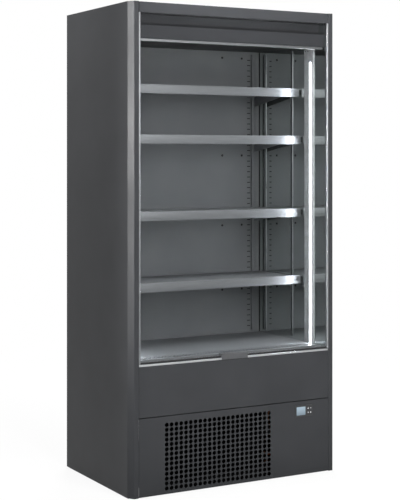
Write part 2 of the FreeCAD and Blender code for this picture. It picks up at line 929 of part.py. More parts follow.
def slotted_uprights():
    """Two channels that carry the shelf brackets."""
    x = upright_x()
    near = liner_y - upright_depth
    path = [
        (x + upright_width / 2, near + upright_depth), (x + upright_width / 2, near),
        (x - upright_width / 2, near), (x - upright_width / 2, near + upright_depth),
    ]
    channel = folded_sheet("z", upright_bottom(), upright_top(), path[::-1], upright_sheet)
    slots = [
        box(x - slot_width / 2, x + slot_width / 2, near - upright_sheet, near + 2 * upright_sheet,
            slot_bottom(i), slot_bottom(i) + slot_height)
        for i in range(slot_count())
    ]
    return pair(channel.cut(Part.makeCompound(slots)))


def side_mirrors():
    """Mirrors that line the two side walls from the sill to the top."""
    return pair(box(mirror_x, inner_x, front + mirror_setback, liner_y - fit_gap,
                    rail_top + fit_gap, header_bottom - fit_gap))


def mirror_trims():
    """Bright front edge trims and the strips over the mirrors' joints."""
    low = rail_top + fit_gap
    near = front + fit_gap
    inner = mirror_x - edge_trim_overlap
    corners = [
        (inner, near), (inner + edge_trim_width, near),
        (inner + edge_trim_width, front + mirror_setback), (inner, front + mirror_setback),
    ]
    edge = prism("z", low, header_bottom - fit_gap, corners, [edge_trim_radius, 0, 0, 0])
    strips = [
        box(mirror_x - joint_strip_thickness, mirror_x, front + setback, front + setback + across,
            deck_height + liner_fold, ceiling_z - liner_fold)
        for setback, across in joint_strips
    ]
    parts = [edge] + strips
    return Part.makeCompound(parts + [mirrored(part) for part in parts])


def led_span():
    """Lower and upper end of the light carriers."""
    return tub_top + led_end_gap, cassette_bottom - led_end_gap


def led_profiles():
    """Flat aluminium carriers of the lights, on the mirrors near the front."""
    low, high = led_span()
    near = front + led_setback
    corners = [
        (mirror_x - led_thickness, near), (mirror_x, near), (mirror_x, near + led_width),
        (mirror_x - led_thickness, near + led_width),
    ]
    return pair(prism("z", low, high, corners,
                      [led_edge_radius, 0, 0, led_edge_radius]))


def led_diffusers():
    """Low, rounded light covers near the carriers' front edge."""
    low, high = led_span()
    near = front + led_setback + diffuser_inset
    face = mirror_x - led_thickness
    tip = face - diffuser_rise
    rounding = diffuser_rise * diffuser_rounding
    corners = [
        (tip, near), (face, near), (face, near + diffuser_width), (tip, near + diffuser_width),
    ]
    return pair(prism("z", low, high - diffuser_top_gap, corners, [rounding, 0, 0, rounding]))


def shelf_brackets():
    """Eight cantilever brackets, two for each shelf, hooked into the uprights."""
    rear = liner_y - upright_depth - bracket_face_gap
    hook = liner_y - upright_depth + bracket_tongue
    tongue = slot_height - bracket_tongue_play
    shapes = []
    for share, setback in shelves():
        tip = front + setback + rail_profile_depth + bracket_front_gap
        top = bracket_top(share)
        upper = slot_bottom(shelf_slot(share))
        lower = slot_bottom(shelf_slot(share) - bracket_slots_apart)
        bottom = top - bracket_rear_height - bracket_top_over_slot / 2
        corners = [
            (tip, top), (tip, top - bracket_front_height), (rear, bottom),
            (rear, lower), (hook, lower), (hook, lower + tongue), (rear, lower + tongue),
            (rear, upper), (hook, upper), (hook, upper + tongue), (rear, upper + tongue),
            (rear, top),
        ]
        x = upright_x()
        plate = prism("x", x - bracket_thickness / 2, x + bracket_thickness / 2, corners)
        shapes += [plate, mirrored(plate)]
    return Part.makeCompound(shapes)


def shelf_deck(share, setback):
    """Deck of a shelf, its rear fold notched where the brackets pass."""
    near = front + setback + rail_profile_depth
    far = shelf_rear_y()
    top = shelf_top(share)
    deck = tray_deck(near, far, mirror_x - shelf_end_gap, top, shelf_fold)
    half_notch = bracket_thickness / 2 + fit_gap
    notch = box(upright_x() - half_notch, upright_x() + half_notch, far - 2 * bend - inner_sheet,
                far + fit_gap, top - shelf_fold - fit_gap, bracket_top(share))
    return deck.cut(pair(notch))


def price_rail(share, setback):
    """Extruded front rail of a shelf: a crowned face with a lip along each edge."""
    near = front + setback
    far = near + rail_profile_depth
    high = shelf_top(share) + rail_above_deck
    low = high - rail_face_height
    middle = (low + high) / 2
    edge = near + rail_crown
    outline = [
        Vector(far, high, 0), Vector(edge, high, 0),
        (Vector(edge, high, 0), Vector(near, middle, 0), Vector(edge, low, 0)),
        Vector(far, low, 0), Vector(far, low + rail_wall, 0),
        (Vector(edge + rail_wall, low + rail_wall, 0), Vector(near + rail_wall, middle, 0),
         Vector(edge + rail_wall, high - rail_wall, 0)),
        Vector(far, high - rail_wall, 0), Vector(far, high, 0),
    ]
    half = mirror_x - shelf_end_gap
    face = Part.Face(Part.Wire(edges_through("x", -half, outline)))
    return face.extrude(Vector(2 * half, 0, 0))


# ---------------------------------------------------------------- controller
def controller_bezel():
    """Housing of the controller: flange, body, display recess and four key wells."""
    x, z = bezel_centre()
    near = front + panel_setback - bezel_thickness
    flange = prism("y", near, near + bezel_thickness, rectangle(x, z, bezel_width, bezel_height),
                   [bezel_radius] * 4)
    body = prism("y", near + bezel_thickness / 2, near + bezel_body_depth,
                 rectangle(x, z, bezel_width - 2 * bezel_body_inset,
                           bezel_height - 2 * bezel_body_inset))
    window = prism("y", near - key_proud, near + window_depth,
                   rectangle(x + window_offset, z, window_width, window_height))
    well_depth = near + key_length + 2 * key_travel
    wells = [
        prism("y", near - key_proud, well_depth,
              rectangle(key_x, key_z, key_size + 2 * key_gap, key_size + 2 * key_gap),
              [key_radius + key_gap] * 4)
        for key_x, key_z in key_places()
    ]
    return joined([flange, body]).cut(Part.makeCompound([window] + wells))


def key_places():
    """Centres of the four keys, left to right in the upper and then the lower row."""
    x, z = bezel_centre()
    return [
        (x + keys_offset + dx * key_pitch_x / 2, z + dz * key_pitch_z / 2)
        for dz in (1, -1) for dx in (-1, 1)
    ]


def button(place):
    """One key, a little proud of the bezel."""
    near = front + panel_setback - bezel_thickness - key_proud
    return prism("y", near, near + key_length, rectangle(place[0], place[1], key_size, key_size),
                 [key_radius] * 4)


# ---------------------------------------------------------------- refrigeration
def fin_block(x_low, x_high, y_low, y_high, z_low, z_high, pitch):
    """A finned coil: a comb of fins on a spine, a plate at each end and return bends outside."""
    first = x_low + coil_end_plate
    last = x_high - coil_end_plate
    corners = [(last, y_high), (first, y_high)]
    for x in steps(first, last - fin_thickness, pitch):
        corners += [(x, y_low), (x + fin_thickness, y_low), (x + fin_thickness, y_high - coil_spine)]
        corners.append((min(x + pitch, last), y_high - coil_spine))
    corners[2] = (first, y_low)
    over = coil_plate_overhang
    parts = [prism("z", z_low, z_high, corners)]
    for x in (x_low, last):
        parts.append(box(x, x + coil_end_plate, y_low - over, y_high + over, z_low - over,
                         z_high + over))
    middle_y = (y_low + y_high) / 2
    reach = coil_bend_radius
    for x, turn in ((x_low, -1), (x_high, 1)):
        for z in steps(z_low + 2 * reach, z_high - 2 * reach, 3 * reach):
            end = Part.Circle(Vector(x, middle_y, z - reach), Vector(1, 0, 0), pipe_radius)
            disc = Part.Face(Part.Wire(end.toShape()))
            parts.append(disc.revolve(Vector(x, middle_y, z), Vector(0, -turn, 0), 180))
    return joined(parts)


def coil_with_feet(x_low, x_high, y_low, y_high, z_low, z_high, pitch, floor):
    """A finned coil on two feet that stand on a floor."""
    coil = fin_block(x_low, x_high, y_low, y_high, z_low, z_high, pitch)
    foot_top = z_low - coil_plate_overhang
    feet = [
        box(x, x + coil_foot_length, y_low, y_high, floor, foot_top)
        for x in (x_low, x_high - coil_foot_length)
    ]
    return joined([coil] + feet)


def condenser_span():
    """Left and right end of the condenser, a little wider than the hole field."""
    columns = hole_columns()
    return columns[0] - condenser_overlap, columns[-1] + condenser_overlap


def machine_floor():
    """Upper face of the base pan."""
    return rail_section_height + pan_sheet


def condenser_bottom():
    """Lower end of the condenser's fins."""
    return machine_floor() + condenser_lift


def condenser_coil():
    """Condenser behind the hole field."""
    low_x, high_x = condenser_span()
    near = front + condenser_setback
    return coil_with_feet(low_x, high_x, near, near + condenser_depth, condenser_bottom(),
                          condenser_bottom() + condenser_height, condenser_fin_pitch,
                          machine_floor())


def shroud_centre():
    """Middle of the shroud's opening, on the front face of its plate."""
    low_x, high_x = condenser_span()
    y = front + condenser_setback + condenser_depth + shroud_gap
    return Vector((low_x + high_x) / 2, y, condenser_bottom() + condenser_height / 2)


def condenser_fan_shroud():
    """Plate behind the condenser with a round collar for the fan."""
    low_x, high_x = condenser_span()
    centre = shroud_centre()
    along = Vector(0, 1, 0)
    opening = condenser_fan_radius + fan_opening_gap
    plate = box(low_x, high_x, centre.y, centre.y + fan_sheet, machine_floor(),
                condenser_bottom() + condenser_height)
    collar = rod(opening + fan_sheet, centre, along, shroud_collar_depth)
    hole = rod(opening, centre - along, along, shroud_collar_depth + 2.0)
    return joined([plate, collar]).cut(hole)


def condenser_fan_centre():
    """Front face of the condenser fan's hub."""
    return shroud_centre() + Vector(0, condenser_fan_offset, 0)


def fan_blades(centre, radius, flow):
    """Hub, shaft and pitched blades. The shaft points against flow, a sign along Y."""
    hub_radius = radius * fan_hub_share
    half_width = radius * blade_width_share / 2
    half_sheet = blade_thickness / 2
    along = Vector(0, flow, 0)
    hub = rod(hub_radius, centre, along, fan_hub_length)
    shaft = rod(fan_shaft_radius, centre, -along, fan_shaft_length)
    root = hub_radius * math.cos(math.radians(45))
    trim = rod(radius, Vector(0, -radius, 0), Vector(0, 1, 0), 2 * radius)
    parts = [hub, shaft]
    for i in range(blade_count):
        blade = box(-half_width, half_width, -half_sheet, half_sheet, root, radius)
        blade.rotate(Vector(0, 0, 0), Vector(0, 0, 1), blade_twist)
        blade = blade.common(trim)
        blade.rotate(Vector(0, 0, 0), Vector(0, 1, 0), 360.0 / blade_count * i)
        blade.translate(centre + along * (fan_hub_length / 2))
        parts.append(blade)
    return joined(parts)


def fan_motor(centre, fan_radius, flow, plate_gap):
    """Motor behind a fan's hub, with four arms and posts that reach the fan's plate."""
    along = Vector(0, -flow, 0)
    near = centre + along * motor_gap
    bore_depth = fan_shaft_length - motor_gap + motor_bore_play
    bore = rod(fan_shaft_radius + pin_clearance, near, along, bore_depth)
    parts = [rod(motor_radius, near, along, motor_length).cut(bore)]
    reach = fan_radius + fan_post_gap
    rear = motor_gap + motor_length
    for i in range(4):
        spoke = box(motor_radius - motor_arm_overlap, reach + motor_post_width,
                    rear - motor_arm, rear, -motor_arm, motor_arm)
        post = box(reach, reach + motor_post_width, -plate_gap, rear, -motor_arm, motor_arm)
        for bar in (spoke, post):
            if flow > 0:
                bar = bar.mirror(Vector(0, 0, 0), Vector(0, 1, 0))
            bar.rotate(Vector(0, 0, 0), Vector(0, 1, 0), 90 * i + 45)
            bar.translate(centre)
            parts.append(bar)
    return joined(parts)


def evaporator_span():
    """Box of the evaporator coil inside the well."""
    far = rear_face - evaporator_rear_gap
    low = tub_floor_z + inner_sheet + evaporator_bottom_gap
    return (
        -tub_x + evaporator_side_gap, tub_x - evaporator_side_gap - evaporator_pipe_space,
        far - evaporator_depth, far, low, low + evaporator_height,
    )


def evaporator_coil():
    """Evaporator in the well, behind its fans."""
    return coil_with_feet(*evaporator_span(), evaporator_fin_pitch, tub_floor_z + inner_sheet)


def evaporator_fan_centres():
    """Left and right fan, on the front face of the fan plate."""
    y_low = evaporator_span()[2]
    z = (tub_floor_z + tub_top) / 2
    y = y_low - fan_plate_gap
    half = evaporator_fan_spacing / 2
    return Vector(-half, y, z), Vector(half, y, z)


def evaporator_fan_plate():
    """Bulkhead across the well with the two fan openings."""
    centres = evaporator_fan_centres()
    edge = tub_x - fan_plate_edge_gap
    y = centres[0].y
    plate = box(-edge, edge, y, y + fan_sheet, tub_floor_z + inner_sheet,
                tub_top - fan_plate_edge_gap)
    along = Vector(0, 1, 0)
    openings = [
        rod(evaporator_fan_radius + fan_opening_gap, centre - along, along, fan_sheet + 2.0)
        for centre in centres
    ]
    return plate.cut(Part.makeCompound(openings))


def fan_motors():
    """Motors of the two evaporator fans and of the condenser fan."""
    shapes = [
        fan_motor(centre, evaporator_fan_radius, 1, 0.0) for centre in evaporator_fan_centres()
    ]
    shapes.append(fan_motor(condenser_fan_centre(), condenser_fan_radius, -1,
                            condenser_fan_offset - fan_sheet))
    return Part.makeCompound(shapes)


def evaporator_tub():
    """Steel tub that holds the evaporator and catches the thaw water."""
    near = front + tub_setback
    far = rear_face - fit_gap
    outside = box(-tub_x, tub_x, near, far, tub_floor_z, tub_top)
    inside = box(-tub_x + inner_sheet, tub_x - inner_sheet, near + inner_sheet,
                 far - inner_sheet, tub_floor_z + inner_sheet, tub_top + 1.0)
    tub = outside.cut(inside)
    for hole in well_pipe_holes():
        tub = tub.cut(hole)
    return tub


def compressor_centre():
    """Middle of the compressor's underside."""
    y = back - service_panel_setback - compressor_rear_gap - compressor_radius
    return Vector(compressor_from_middle, y, machine_floor() + compressor_foot)


def compressor():
    """Hermetic compressor: domed can with a seam flange, foot plate and terminal cover."""
    base = compressor_centre()
    wide = compressor_radius
    dome = wide * compressor_dome_share
    flat = wide * compressor_base_share
    seam = compressor_height * compressor_seam_share
    seam_top = seam + compressor_seam_height
    rim = wide + compressor_seam_width
    shoulder = compressor_height - dome
    quarter = math.sqrt(0.5)
    outline = [
        Vector(0, 0, 0), Vector(flat, 0, 0),
        (Vector(flat, 0, 0), Vector(flat + (wide - flat) * quarter, dome * (1 - quarter), 0),
         Vector(wide, dome, 0)),
        Vector(wide, seam, 0), Vector(rim, seam, 0), Vector(rim, seam_top, 0),
        Vector(wide, seam_top, 0), Vector(wide, shoulder, 0),
        (Vector(wide, shoulder, 0), Vector(wide * quarter, shoulder + dome * quarter, 0),
         Vector(0, compressor_height, 0)),
        Vector(0, 0, 0),
    ]
    half_section = Part.Face(Part.Wire(edges_through("y", 0, outline)))
    can = half_section.revolve(Vector(0, 0, 0), Vector(0, 0, 1), 360)
    length = wide * compressor_plate_share
    across = length * compressor_plate_ratio
    plate = prism("z", 0, compressor_plate_sheet, rectangle(0, 0, length, across),
                  [compressor_plate_corner] * 4)
    parts = [can, plate]
    inset = compressor_foot_radius + compressor_plate_sheet
    for x in (inset - length / 2, length / 2 - inset):
        for y in (inset - across / 2, across / 2 - inset):
            parts.append(rod(compressor_foot_radius, Vector(x, y, -compressor_foot),
                             Vector(0, 0, 1), compressor_foot))
    cover_top = seam - terminal_cover_drop
    half_cover = terminal_cover_width / 2
    parts.append(box(wide * compressor_base_share, wide + terminal_cover_reach, -half_cover,
                     half_cover, cover_top - terminal_cover_height, cover_top))
    for port in compressor_ports():
        parts.append(rod(pipe_radius + port_sleeve, port - base, Vector(0, 0, -1), port_length))
    can = joined(parts)
    can.translate(base)
    return can


def compressor_ports():
    """Upper ends of the discharge and suction stubs."""
    aside = compressor_radius * compressor_port_share
    spot = Vector(aside, aside, compressor_height + compressor_port_rise)
    base = compressor_centre()
    return base + Vector(-spot.x, -spot.y, spot.z), base + spot


def well_pipe_places():
    """Where the liquid and the suction pipe pass the well's floor."""
    x = evaporator_span()[1] + pipe_from_coil
    y_low, y_high = evaporator_span()[2:4]
    return Vector(x, y_low + pipe_from_coil, 0), Vector(x, y_high - pipe_from_coil, 0)


def well_pipe_holes():
    """The cuts for those pipes."""
    reach = well_floor + 4 * inner_sheet
    low = panel_split - inner_sheet
    return [
        rod(pipe_radius + pipe_hole_gap, Vector(spot.x, spot.y, low), Vector(0, 0, 1), reach)
        for spot in well_pipe_places()
    ]


def refrigerant_pipes():
    """Discharge, liquid and suction lines with the filter drier."""
    discharge, suction = compressor_ports()
    liquid_hole, suction_hole = well_pipe_places()
    x_end = condenser_span()[1]
    port_y = front + condenser_setback + condenser_depth * coil_port_share
    high = discharge.z + discharge_rise
    out = x_end + discharge_out
    top_port = condenser_bottom() + condenser_height - coil_port_inset
    low_port = condenser_bottom() + coil_port_inset
    discharge_line = pipe(
        [discharge, Vector(discharge.x, discharge.y, high),
         Vector(out, discharge.y - discharge_slant, high), Vector(out, port_y, high),
         Vector(out, port_y, top_port), Vector(x_end, port_y, top_port)],
        pipe_radius, pipe_bend,
    )
    drier_y = compressor_centre().y - compressor_radius - drier_length - drier_gap
    drier_start = Vector(x_end + drier_out, drier_y, low_port)
    drier = rod(drier_radius, drier_start, Vector(0, 1, 0), drier_length)
    to_drier = pipe(
        [Vector(x_end, port_y, low_port), Vector(drier_start.x, port_y, low_port), drier_start],
        pipe_radius, pipe_bend,
    )
    after = drier_start + Vector(0, drier_length, 0)
    turn_y = after.y + liquid_run
    coil_end, z_low, z_high = [evaporator_span()[i] for i in (1, 4, 5)]
    liquid_port = z_low + evaporator_port_inset
    liquid_line = pipe(
        [after, Vector(after.x, turn_y, after.z),
         Vector(liquid_hole.x, turn_y, after.z + liquid_rises[0]),
         Vector(liquid_hole.x, liquid_hole.y, after.z + liquid_rises[1]),
         Vector(liquid_hole.x, liquid_hole.y, liquid_port),
         Vector(coil_end, liquid_hole.y, liquid_port)],
        pipe_radius, pipe_bend,
    )
    suction_port = z_high - evaporator_port_inset
    suction_line = pipe(
        [suction, Vector(suction.x, suction.y, suction.z + suction_rises[0]),
         Vector(suction_hole.x, suction_hole.y, suction.z + suction_rises[1]),
         Vector(suction_hole.x, suction_hole.y, suction_port),
         Vector(coil_end, suction_hole.y, suction_port)],
        pipe_radius, pipe_bend * suction_bend_share,
    )
    return Part.makeCompound([discharge_line, joined([to_drier, drier, liquid_line]),
                              suction_line])


def condensate_tray():
    """Open plastic tray in which the thaw water evaporates."""
    x = -panel_x + tray_gap
    far = back - service_panel_setback - panel_fold - tray_gap
    low = machine_floor()
    outer = box(x, x + tray_length, far - tray_depth, far, low, low + tray_height)
    inner = box(x + tray_wall, x + tray_length - tray_wall, far - tray_depth + tray_wall,
                far - tray_wall, low + tray_wall, low + tray_height + 1.0)
    return outer.cut(inner)


def gland_place():
    """Across and up: centre of the mains cable's inlet."""
    x = panel_x - box_gap - box_width / 2
    return x, machine_floor() + gland_height


def electrical_box():
    """Terminal box with the cable inlet that passes the rear service panel."""
    x = panel_x - box_gap - box_width
    far = back - gland_length
    low = machine_floor()
    housing = prism("z", low, low + box_height,
                    rectangle(x + box_width / 2, far - box_depth / 2, box_width, box_depth),
                    [box_corner_radius] * 4)
    gland_x, gland_z = gland_place()
    along = Vector(0, 1, 0)
    root = Vector(gland_x, far - gland_root, gland_z)
    gland = rod(gland_radius, root, along, gland_length)
    nut = rod(gland_nut_radius, root, along,
              gland_length - service_panel_setback - skin - gland_nut_gap)
    bore = rod(gland_bore_radius, Vector(gland_x, far, gland_z), along, gland_length)
    return joined([housing, gland, nut]).cut(bore)


# ---------------------------------------------------------------- base
def rail_inner_edge():
    """Inner face of the base rails."""
    return outer_x - skin - rail_section_width


def foot_places():
    """Left front, right front, left rear and right rear foot."""
    x = rail_inner_edge() + rail_section_width / 2
    near = front + pan_inset + foot_from_end
    far = back - pan_inset - foot_from_end
    return ((-x, near), (x, near), (-x, far), (x, far))


def stem_holes():
    """The cuts for the feet's stems."""
    return Part.makeCompound([
        rod(foot_stem_radius + stem_hole_gap, Vector(x, y, 0), Vector(0, 0, 1),
            2 * rail_section_height)
        for x, y in foot_places()
    ])


def base_rails():
    """Two channels that the cabinet stands on, with holes for the levelling feet."""
    inner = rail_inner_edge()
    outer = inner + rail_section_width
    path = [
        (-inner, rail_section_height), (-outer, rail_section_height), (-outer, 0), (-inner, 0),
    ]
    rail = folded_sheet("y", front + pan_inset, back - pan_inset, path, rail_section_sheet)
    rails = Part.makeCompound([rail, mirrored(rail)]).cut(stem_holes())
    for x, y in foot_places():
        pad_hole = rod(foot_pad_radius + foot_hole_gap, Vector(x, y, -1), Vector(0, 0, 1),
                       rail_section_sheet + 2)
        rails = rails.cut(pad_hole)
    return rails


def base_pan():
    """Floor of the machine compartment, with a deep lip behind the lowest holes."""
    top = machine_floor()
    near = front + pan_inset
    far = back - pan_inset
    half = outer_x - skin
    path = [(far, top - pan_rear_fold), (far, top), (near, top), (near, pan_lip_bottom)]
    pan = folded_sheet("x", -half, half, path, pan_sheet)
    rail_room = [
        box(side * rail_inner_edge() - rail_section_width, side * rail_inner_edge()
            + rail_section_width, front, back, 0, rail_section_height)
        for side in (-1, 1)
    ]
    return pan.cut(Part.makeCompound(rail_room)).cut(stem_holes())


def levelling_foot(place):
    """Pad, hexagon and stem, screwed up until the pad is inside the base rail."""
    x, y = place
    up = Vector(0, 0, 1)
    low = foot_lift
    pad = Part.makeCone(foot_pad_radius, foot_pad_radius - foot_pad_taper, foot_pad_height,
                        Vector(x, y, low), up)
    corners = [
        (x + foot_nut_radius * math.cos(math.radians(60 * i)),
         y + foot_nut_radius * math.sin(math.radians(60 * i)))
        for i in range(6)
    ]
    nut_low = low + foot_pad_height
    nut = prism("z", nut_low, nut_low + foot_nut_height, corners)
    stem = rod(foot_stem_radius, Vector(x, y, nut_low), up, foot_stem_length)
    return joined([pad, nut, stem])


# ---------------------------------------------------------------- writing the nodes
def nodes():
    """Every node's name and shape."""
    made = {
        "side_panel_left": side_panel_left(),
        "side_panel_right": mirrored(side_panel_left()),
        "insulation_foam": insulation_foam(),
        "mirror_trims": mirror_trims(),
        "rear_panel": rear_panel(),
        "top_panel": top_panel(),
        "header_fascia": header_fascia(),
        "blind_cassette": blind_cassette(),
        "air_outlet_honeycomb": air_outlet_honeycomb(),
        "ceiling_panel": ceiling_panel(),
        "inner_rear_panel": inner_rear_panel(),
        "slotted_uprights": slotted_uprights(),
        "side_mirrors": side_mirrors(),
        "led_profiles": led_profiles(),
        "led_diffusers": led_diffusers(),
        "shelf_brackets": shelf_brackets(),
        "evaporator_tub": evaporator_tub(),
        "mid_front_panel": mid_front_panel(),
        "front_rail": front_rail(),
        "front_gasket_strip": front_gasket_strip(),
        "blind_catch": blind_catch(),
        "return_air_grille": return_air_grille(),
        "base_pan": base_pan(),
        "base_rails": base_rails(),
        "rear_service_panel": rear_service_panel(),
        "compressor": compressor(),
        "condenser_coil": condenser_coil(),
        "condenser_fan_shroud": condenser_fan_shroud(),
        "evaporator_coil": evaporator_coil(),
        "evaporator_fan_plate": evaporator_fan_plate(),
        "fan_motors": fan_motors(),
        "condensate_tray": condensate_tray(),
        "refrigerant_pipes": refrigerant_pipes(),
        "electrical_box": electrical_box(),
        "blind_bar": blind_bar(),
        "blind_tube": blind_tube(),
        "blind_roll": blind_roll(),
        "blind_fabric": blind_fabric(),
        "base_deck": base_deck(),
        "lower_front_panel": lower_front_panel(),
        "controller_bezel": controller_bezel(),
        "condenser_fan_blades": fan_blades(condenser_fan_centre(), condenser_fan_radius, -1),
    }
    for i, (share, setback) in enumerate(shelves(), 1):
        made[f"shelf_deck_{i}"] = shelf_deck(share, setback)
        made[f"price_rail_{i}"] = price_rail(share, setback)
    for i, place in enumerate(key_places(), 1):
        made[f"button_{i}"] = button(place)
    for side, centre in zip(("left", "right"), evaporator_fan_centres()):
        made[f"evaporator_fan_blades_{side}"] = fan_blades(centre, evaporator_fan_radius, 1)
    for name, place in zip(("front_left", "front_right", "rear_left", "rear_right"),
                           foot_places()):
        made[f"levelling_foot_{name}"] = levelling_foot(place)
    return made


os.makedirs("parts", exist_ok=True)
for node_name, shape in nodes().items():
    shape.exportStep(f"parts/{node_name}.step")
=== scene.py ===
"""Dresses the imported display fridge: finishes for its nodes, and the small pieces on them."""

import math

import bmesh
import bpy
from bpy.props import FloatProperty, FloatVectorProperty, PointerProperty, StringProperty
from mathutils import Matrix, Vector


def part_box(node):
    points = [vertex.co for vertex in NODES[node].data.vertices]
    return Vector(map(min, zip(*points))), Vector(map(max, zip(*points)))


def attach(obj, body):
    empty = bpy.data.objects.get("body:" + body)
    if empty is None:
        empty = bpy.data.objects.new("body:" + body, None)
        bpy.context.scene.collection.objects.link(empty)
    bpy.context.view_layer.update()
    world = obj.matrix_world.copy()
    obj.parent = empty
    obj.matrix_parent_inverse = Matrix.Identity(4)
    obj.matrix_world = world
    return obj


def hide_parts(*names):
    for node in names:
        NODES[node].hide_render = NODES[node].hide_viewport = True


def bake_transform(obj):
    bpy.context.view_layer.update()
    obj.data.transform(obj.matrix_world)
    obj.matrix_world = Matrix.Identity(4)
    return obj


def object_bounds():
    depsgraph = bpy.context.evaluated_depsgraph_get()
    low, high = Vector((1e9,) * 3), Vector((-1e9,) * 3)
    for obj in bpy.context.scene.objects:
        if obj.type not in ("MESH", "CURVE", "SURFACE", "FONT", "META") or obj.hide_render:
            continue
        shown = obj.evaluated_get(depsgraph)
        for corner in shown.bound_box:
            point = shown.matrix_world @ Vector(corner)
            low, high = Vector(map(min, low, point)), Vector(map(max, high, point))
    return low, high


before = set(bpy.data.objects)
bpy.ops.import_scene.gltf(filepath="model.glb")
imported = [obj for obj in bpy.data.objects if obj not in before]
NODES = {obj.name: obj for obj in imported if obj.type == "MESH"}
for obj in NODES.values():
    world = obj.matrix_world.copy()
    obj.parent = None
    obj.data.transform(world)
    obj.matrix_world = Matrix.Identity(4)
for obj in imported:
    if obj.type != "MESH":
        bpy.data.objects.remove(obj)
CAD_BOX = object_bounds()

bl_info = {
    "name": "Display fridge",
    "version": (1, 0, 0),
    "blender": (4, 5, 0),
    "location": "3D View > Sidebar > Fridge",
    "description": "Finishes and small pieces of an open multideck display fridge",
    "category": "Object",
}

MM = 0.001


# ---------------------------------------------------------------- settings
class FridgeColours(bpy.types.PropertyGroup):
    """Paint and cloth colours, as sRGB hex values."""

    casing: StringProperty(name="Casing", description="Powder coat of the outer panels",
                           default="323335")
    interior: StringProperty(name="Interior", description="Powder coat of the inner panels",
                             default="5a5c5e")
    shelf_rail: StringProperty(name="Shelf rail", description="Lacquer of the shelf rails",
                               default="626466")
    blind: StringProperty(name="Blind", description="Cloth of the night blind",
                          default="a9abad")
    light: StringProperty(name="Light", description="Colour of the shelf lights",
                          default="f4f9ff")


class FridgeSizes(bpy.types.PropertyGroup):
    """Sizes of the small pieces."""

    screw_head: FloatProperty(name="Screw head", description="Diameter of the pan heads",
                              default=8 * MM, unit="LENGTH")
    cloth_pitch: FloatProperty(name="Cloth pitch",
                               description="Thickness of one turn of the blind",
                               default=0.47 * MM, unit="LENGTH")
    pane_gap: FloatProperty(name="Pane gap", description="Display pane to its recess",
                            default=0.4 * MM, unit="LENGTH")
    key_mark: FloatProperty(name="Key mark", description="Size of the mark on a key",
                            default=6.4 * MM, unit="LENGTH")
    liner_screw: FloatProperty(name="Liner screw",
                               description="Diameter of the inner panel's screws",
                               default=11 * MM, unit="LENGTH")


class FridgeStudio(bpy.types.PropertyGroup):
    """Lamps and camera."""

    light_strength: FloatProperty(name="Shelf light", description="Brightness of the shelf lights",
                                  default=95.0)
    light_seen: FloatProperty(name="Shelf light seen",
                              description="Brightness of the shelf lights where they are looked at",
                              default=4.0)
    ambient: FloatProperty(name="Ambient", description="Brightness of the world",
                           default=0.15)
    key_power: FloatProperty(name="Key lamp", description="Power of the tall lamp on the left",
                             default=350.0, unit="POWER")
    low_power: FloatProperty(name="Low lamp", description="Power of the dim lamp under it",
                             default=75.0, unit="POWER")
    side_power: FloatProperty(name="Side lamp", description="Power of the lamp high on the left",
                              default=18.0, unit="POWER")
    top_power: FloatProperty(name="Top lamp", description="Power of the lamp high in front",
                             default=105.0, unit="POWER")
    fill_power: FloatProperty(name="Fill lamp", description="Power of the lamp in front",
                              default=65.0, unit="POWER")
    header_power: FloatProperty(name="Header lamp",
                                description="Power of the lamp under the header",
                                default=3.2, unit="POWER")
    back_power: FloatProperty(name="Back lamp", description="Power of the lamp behind",
                              default=150.0, unit="POWER")
    camera_place: FloatVectorProperty(name="Camera", description="Place of the camera",
                                      default=(-2.754, -4.891, 1.375), subtype="TRANSLATION",
                                      unit="LENGTH")
    camera_yaw: FloatProperty(name="Camera yaw", description="Turn of the camera about Z",
                              default=math.radians(-29.36), subtype="ANGLE")
    focal_length: FloatProperty(name="Focal length",
                                description="Focal length for a long side of 36 mm",
                                default=91.94, unit="CAMERA")
    shift_down: FloatProperty(name="Shift", description="Vertical shift of the lens",
                              default=-0.1884)


def settings():
    """The colour and size settings of the scene."""
    return bpy.context.scene.fridge_colours, bpy.context.scene.fridge_sizes


# ---------------------------------------------------------------- material helpers
# noise stays near one half, so this middle range of it is drawn out to the whole range
NOISE_RANGE = {"From Min": 0.3, "From Max": 0.7}
# a pattern that runs in lines is this many times as dense along them as across
LINE_SQUEEZE = 0.02
# Blender's wave texture repeats after a tenth of pi at a scale of 1
WAVE = math.pi / 10


def linear(hex_value, alpha=1.0):
    """The linear colour of an sRGB hex value."""
    parts = [int(hex_value[i:i + 2], 16) / 255 for i in (0, 2, 4)]
    return tuple(part / 12.92 if part <= 0.04045 else ((part + 0.055) / 1.055) ** 2.4
                 for part in parts) + (alpha,)


def shade(hex_value, factor):
    """A hex colour made lighter or darker."""
    parts = [min(255, max(0, round(int(hex_value[i:i + 2], 16) * factor))) for i in (0, 2, 4)]
    return "".join(f"{part:02x}" for part in parts)


def add_node(owner, kind, inputs=None, **properties):
    """Add a node to a material or world, set its properties, and fill or link its inputs."""
    made = owner.node_tree.nodes.new(kind)
    for name, value in properties.items():
        setattr(made, name, value)
    for name, value in (inputs or {}).items():
        if isinstance(value, bpy.types.NodeSocket):
            owner.node_tree.links.new(value, made.inputs[name])
        else:
            made.inputs[name].default_value = value
    return made


def feed(material, socket, value):
    """Link a value to one of the shader's sockets."""
    material.node_tree.links.new(value, socket)


def new_finish(name, metallic=0.0, roughness=0.5, **constants):
    """A material with its shader and the object's own coordinates, in metres."""
    material = bpy.data.materials.new(name)
    material.use_nodes = True
    shader = material.node_tree.nodes["Principled BSDF"]
    shader.inputs["Metallic"].default_value = metallic
    shader.inputs["Roughness"].default_value = roughness
    for label, value in constants.items():
        shader.inputs[label.replace("_", " ")].default_value = value
    place = add_node(material, "ShaderNodeTexCoord").outputs["Object"]
    return material, shader, place


